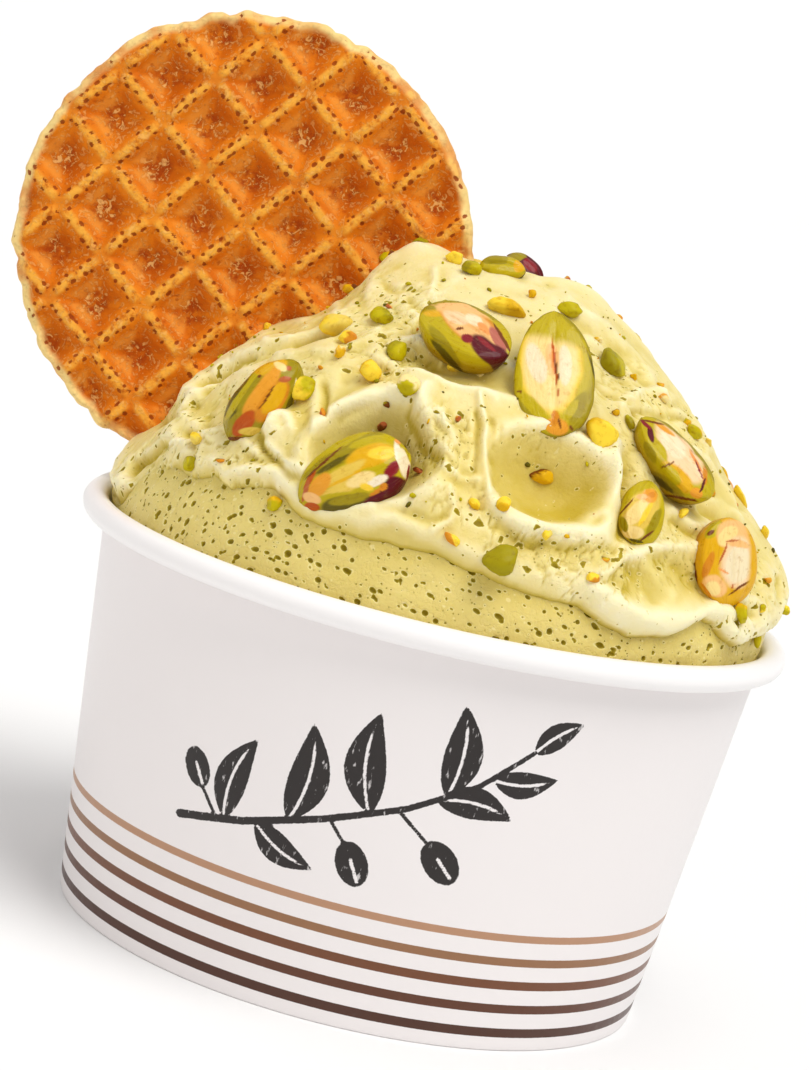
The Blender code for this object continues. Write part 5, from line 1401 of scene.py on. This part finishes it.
def crumbMaterial():
    shade = Shade("choppedPistachio", Roughness=0.40, Specular_IOR_Level=0.13, Subsurface_Weight=0.2,
                  Subsurface_Scale=0.7 * mm, Subsurface_Radius=(1.0, 0.8, 0.2))
    where = shade.place()
    skin = shade.attribute("skin", colour=True)
    mottle = shade.noise(where, 0.9, 4.0, 0.6)
    skin = shade.darken(shade.steps(mottle, 0.50, 0.30, 0.0, 0.6), skin, (0.66, 0.50, 0.25))
    shade.set(Base_Color=skin, Roughness=shade.steps(mottle, 0.2, 0.8, 0.32, 0.5),
              Normal=shade.bump(shade.noise(where, 0.5, 4.0), 0.08, 0.5))
    return shade.material


def chippedPieces(name, az, el, size, turn, first, second, rows, columns, seed, material):
    # nut chips set on the mound: a ball cut by a few planes each, its corners eased, pressed in a little.
    # Arrays hold one entry for each chip, and all chips become one mesh
    count = len(az)
    rng = np.random.default_rng(seed)
    lat = np.radians(np.linspace(-90.0, 90.0, rows + 2)[1:-1])[:, None]
    lon = np.linspace(0.0, 2.0 * np.pi, columns, endpoint=False)[None, :]
    way = np.stack([np.cos(lat) * np.cos(lon), np.cos(lat) * np.sin(lon), np.sin(lat) + 0 * lon], axis=-1)
    way = np.concatenate([way.reshape(-1, 3), [[0, 0, -1.0], [0, 0, 1.0]]])
    planes = rng.normal(size=(count, crumbShape["planes"], 3))
    planes = planes / np.linalg.norm(planes, axis=-1, keepdims=True)
    depth = rng.uniform(0.62, 1.0, (count, crumbShape["planes"]))
    hit = np.clip(np.einsum("pk,cnk->cpn", way, planes), 0.0, None) / depth[:, None, :]
    reach = (np.sum(hit ** 14.0, axis=-1) + 0.4) ** (-1.0 / 14.0)
    local = way * reach[..., None]
    grain = layeredNoise(local * 2.2 + rng.uniform(0, 30, (count, 1, 3)), 1.0, 2, seed + 1)
    local = local * (1.0 + 0.07 * grain[..., None])
    local = local * size[:, None, :] / 2.0
    normal = ray(az, el)
    level = ray(az + 90.0, 0.0 * az)
    rise = np.cross(normal, level)
    c, d = np.cos(np.radians(turn))[:, None], np.sin(np.radians(turn))[:, None]
    along, across = c * level + d * rise, c * rise - d * level
    radius = upperSurface(az, el, *lipEdge(az))[0]
    centre = moundPoint(az, el, radius + size[:, 2] * (0.5 - crumbShape["sink"] - 0.12 * rng.uniform(0, 1, count)))
    points = (centre[:, None, :] + local[..., :1] * along[:, None, :] + local[..., 1:2] * across[:, None, :]
              + local[..., 2:] * normal[:, None, :])
    # the second colour over one side of each chip; on the yellow nuggets it stands partly for painted shade
    side = ease(way[None, :, 0] * np.cos(planes[:, :1, 0] * 3) + way[None, :, 1] * np.sin(planes[:, :1, 0] * 3)
                + 0.5 * grain, -0.1, 0.55)
    skin = first[:, None, :] + side[..., None] * (second - first)[:, None, :]
    skin = np.concatenate([skin, np.ones((*skin.shape[:2], 1))], axis=-1)
    shift = (np.arange(count) * len(way))[:, None, None]
    quads = (gridFaces(rows, columns)[None] + shift).reshape(-1, 4)
    tris = (endFans(rows, columns)[None] + shift).reshape(-1, 3)
    piece = buildMesh(name, points.reshape(-1, 3), quads, tris, material, dict(skin=skin.reshape(-1, 4)))
    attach(piece, "root")


def makeCrumbs():
    material = crumbMaterial()
    s = crumbShape
    rng = np.random.default_rng(401)
    for name, drawn, extra, scale, colours in crumbKinds:
        places = np.array([seenPlace(x, z) for x, z, *_ in drawn])
        size = np.array([[length, width, 0.8 * min(length, width) + 0.3] for _, _, length, width, *_ in drawn])
        turn = np.array([row[4] for row in drawn], float)
        first = np.array([nutColours[row[5]] for row in drawn])
        second = np.array([nutColours[row[6]] for row in drawn])
        backAz, backEl = rng.uniform(2.0, 178.0, extra), rng.uniform(24.0, 78.0, extra)
        long = rng.uniform(1.2, 4.2, extra) * scale
        backSize = np.stack([long, long * rng.uniform(0.6, 0.95, extra),
                             long * rng.uniform(0.45, 0.7, extra) + 0.2], axis=-1)
        palette = np.array([nutColours[c] for c in colours])
        pick = rng.integers(0, len(palette), (2, extra))
        chippedPieces(name, np.concatenate([places[:, 0], backAz]), np.concatenate([places[:, 1], backEl]),
                      np.concatenate([size, backSize]), np.concatenate([turn, rng.uniform(0, 360, extra)]),
                      np.concatenate([first, palette[pick[0]]]), np.concatenate([second, palette[pick[1]]]),
                      s["rows"], s["columns"], 410 + len(drawn), material)
    count = s["specks"]
    az = rng.uniform(-180.0, 180.0, count)
    el = np.degrees(np.arcsin(rng.uniform(np.sin(np.radians(24.0)), 0.985, count)))
    long = 0.3 + 0.8 * rng.uniform(0, 1, count) ** 3.0
    size = np.stack([long, long * rng.uniform(0.4, 0.9, count), 0.25 + 0.3 * long], axis=-1)
    palette = np.array([nutColours[c] for c in speckColours])
    pick = rng.integers(0, len(palette), count)
    chippedPieces("fineSpecks", az, el, size, rng.uniform(0, 360, count), palette[pick], palette[pick] * 0.8,
                  s["speckRows"], s["speckColumns"], 431, material)
    print("chopped pistachio made")


makeGelato()
makeWafer()
makeKernels()
makeCrumbs()
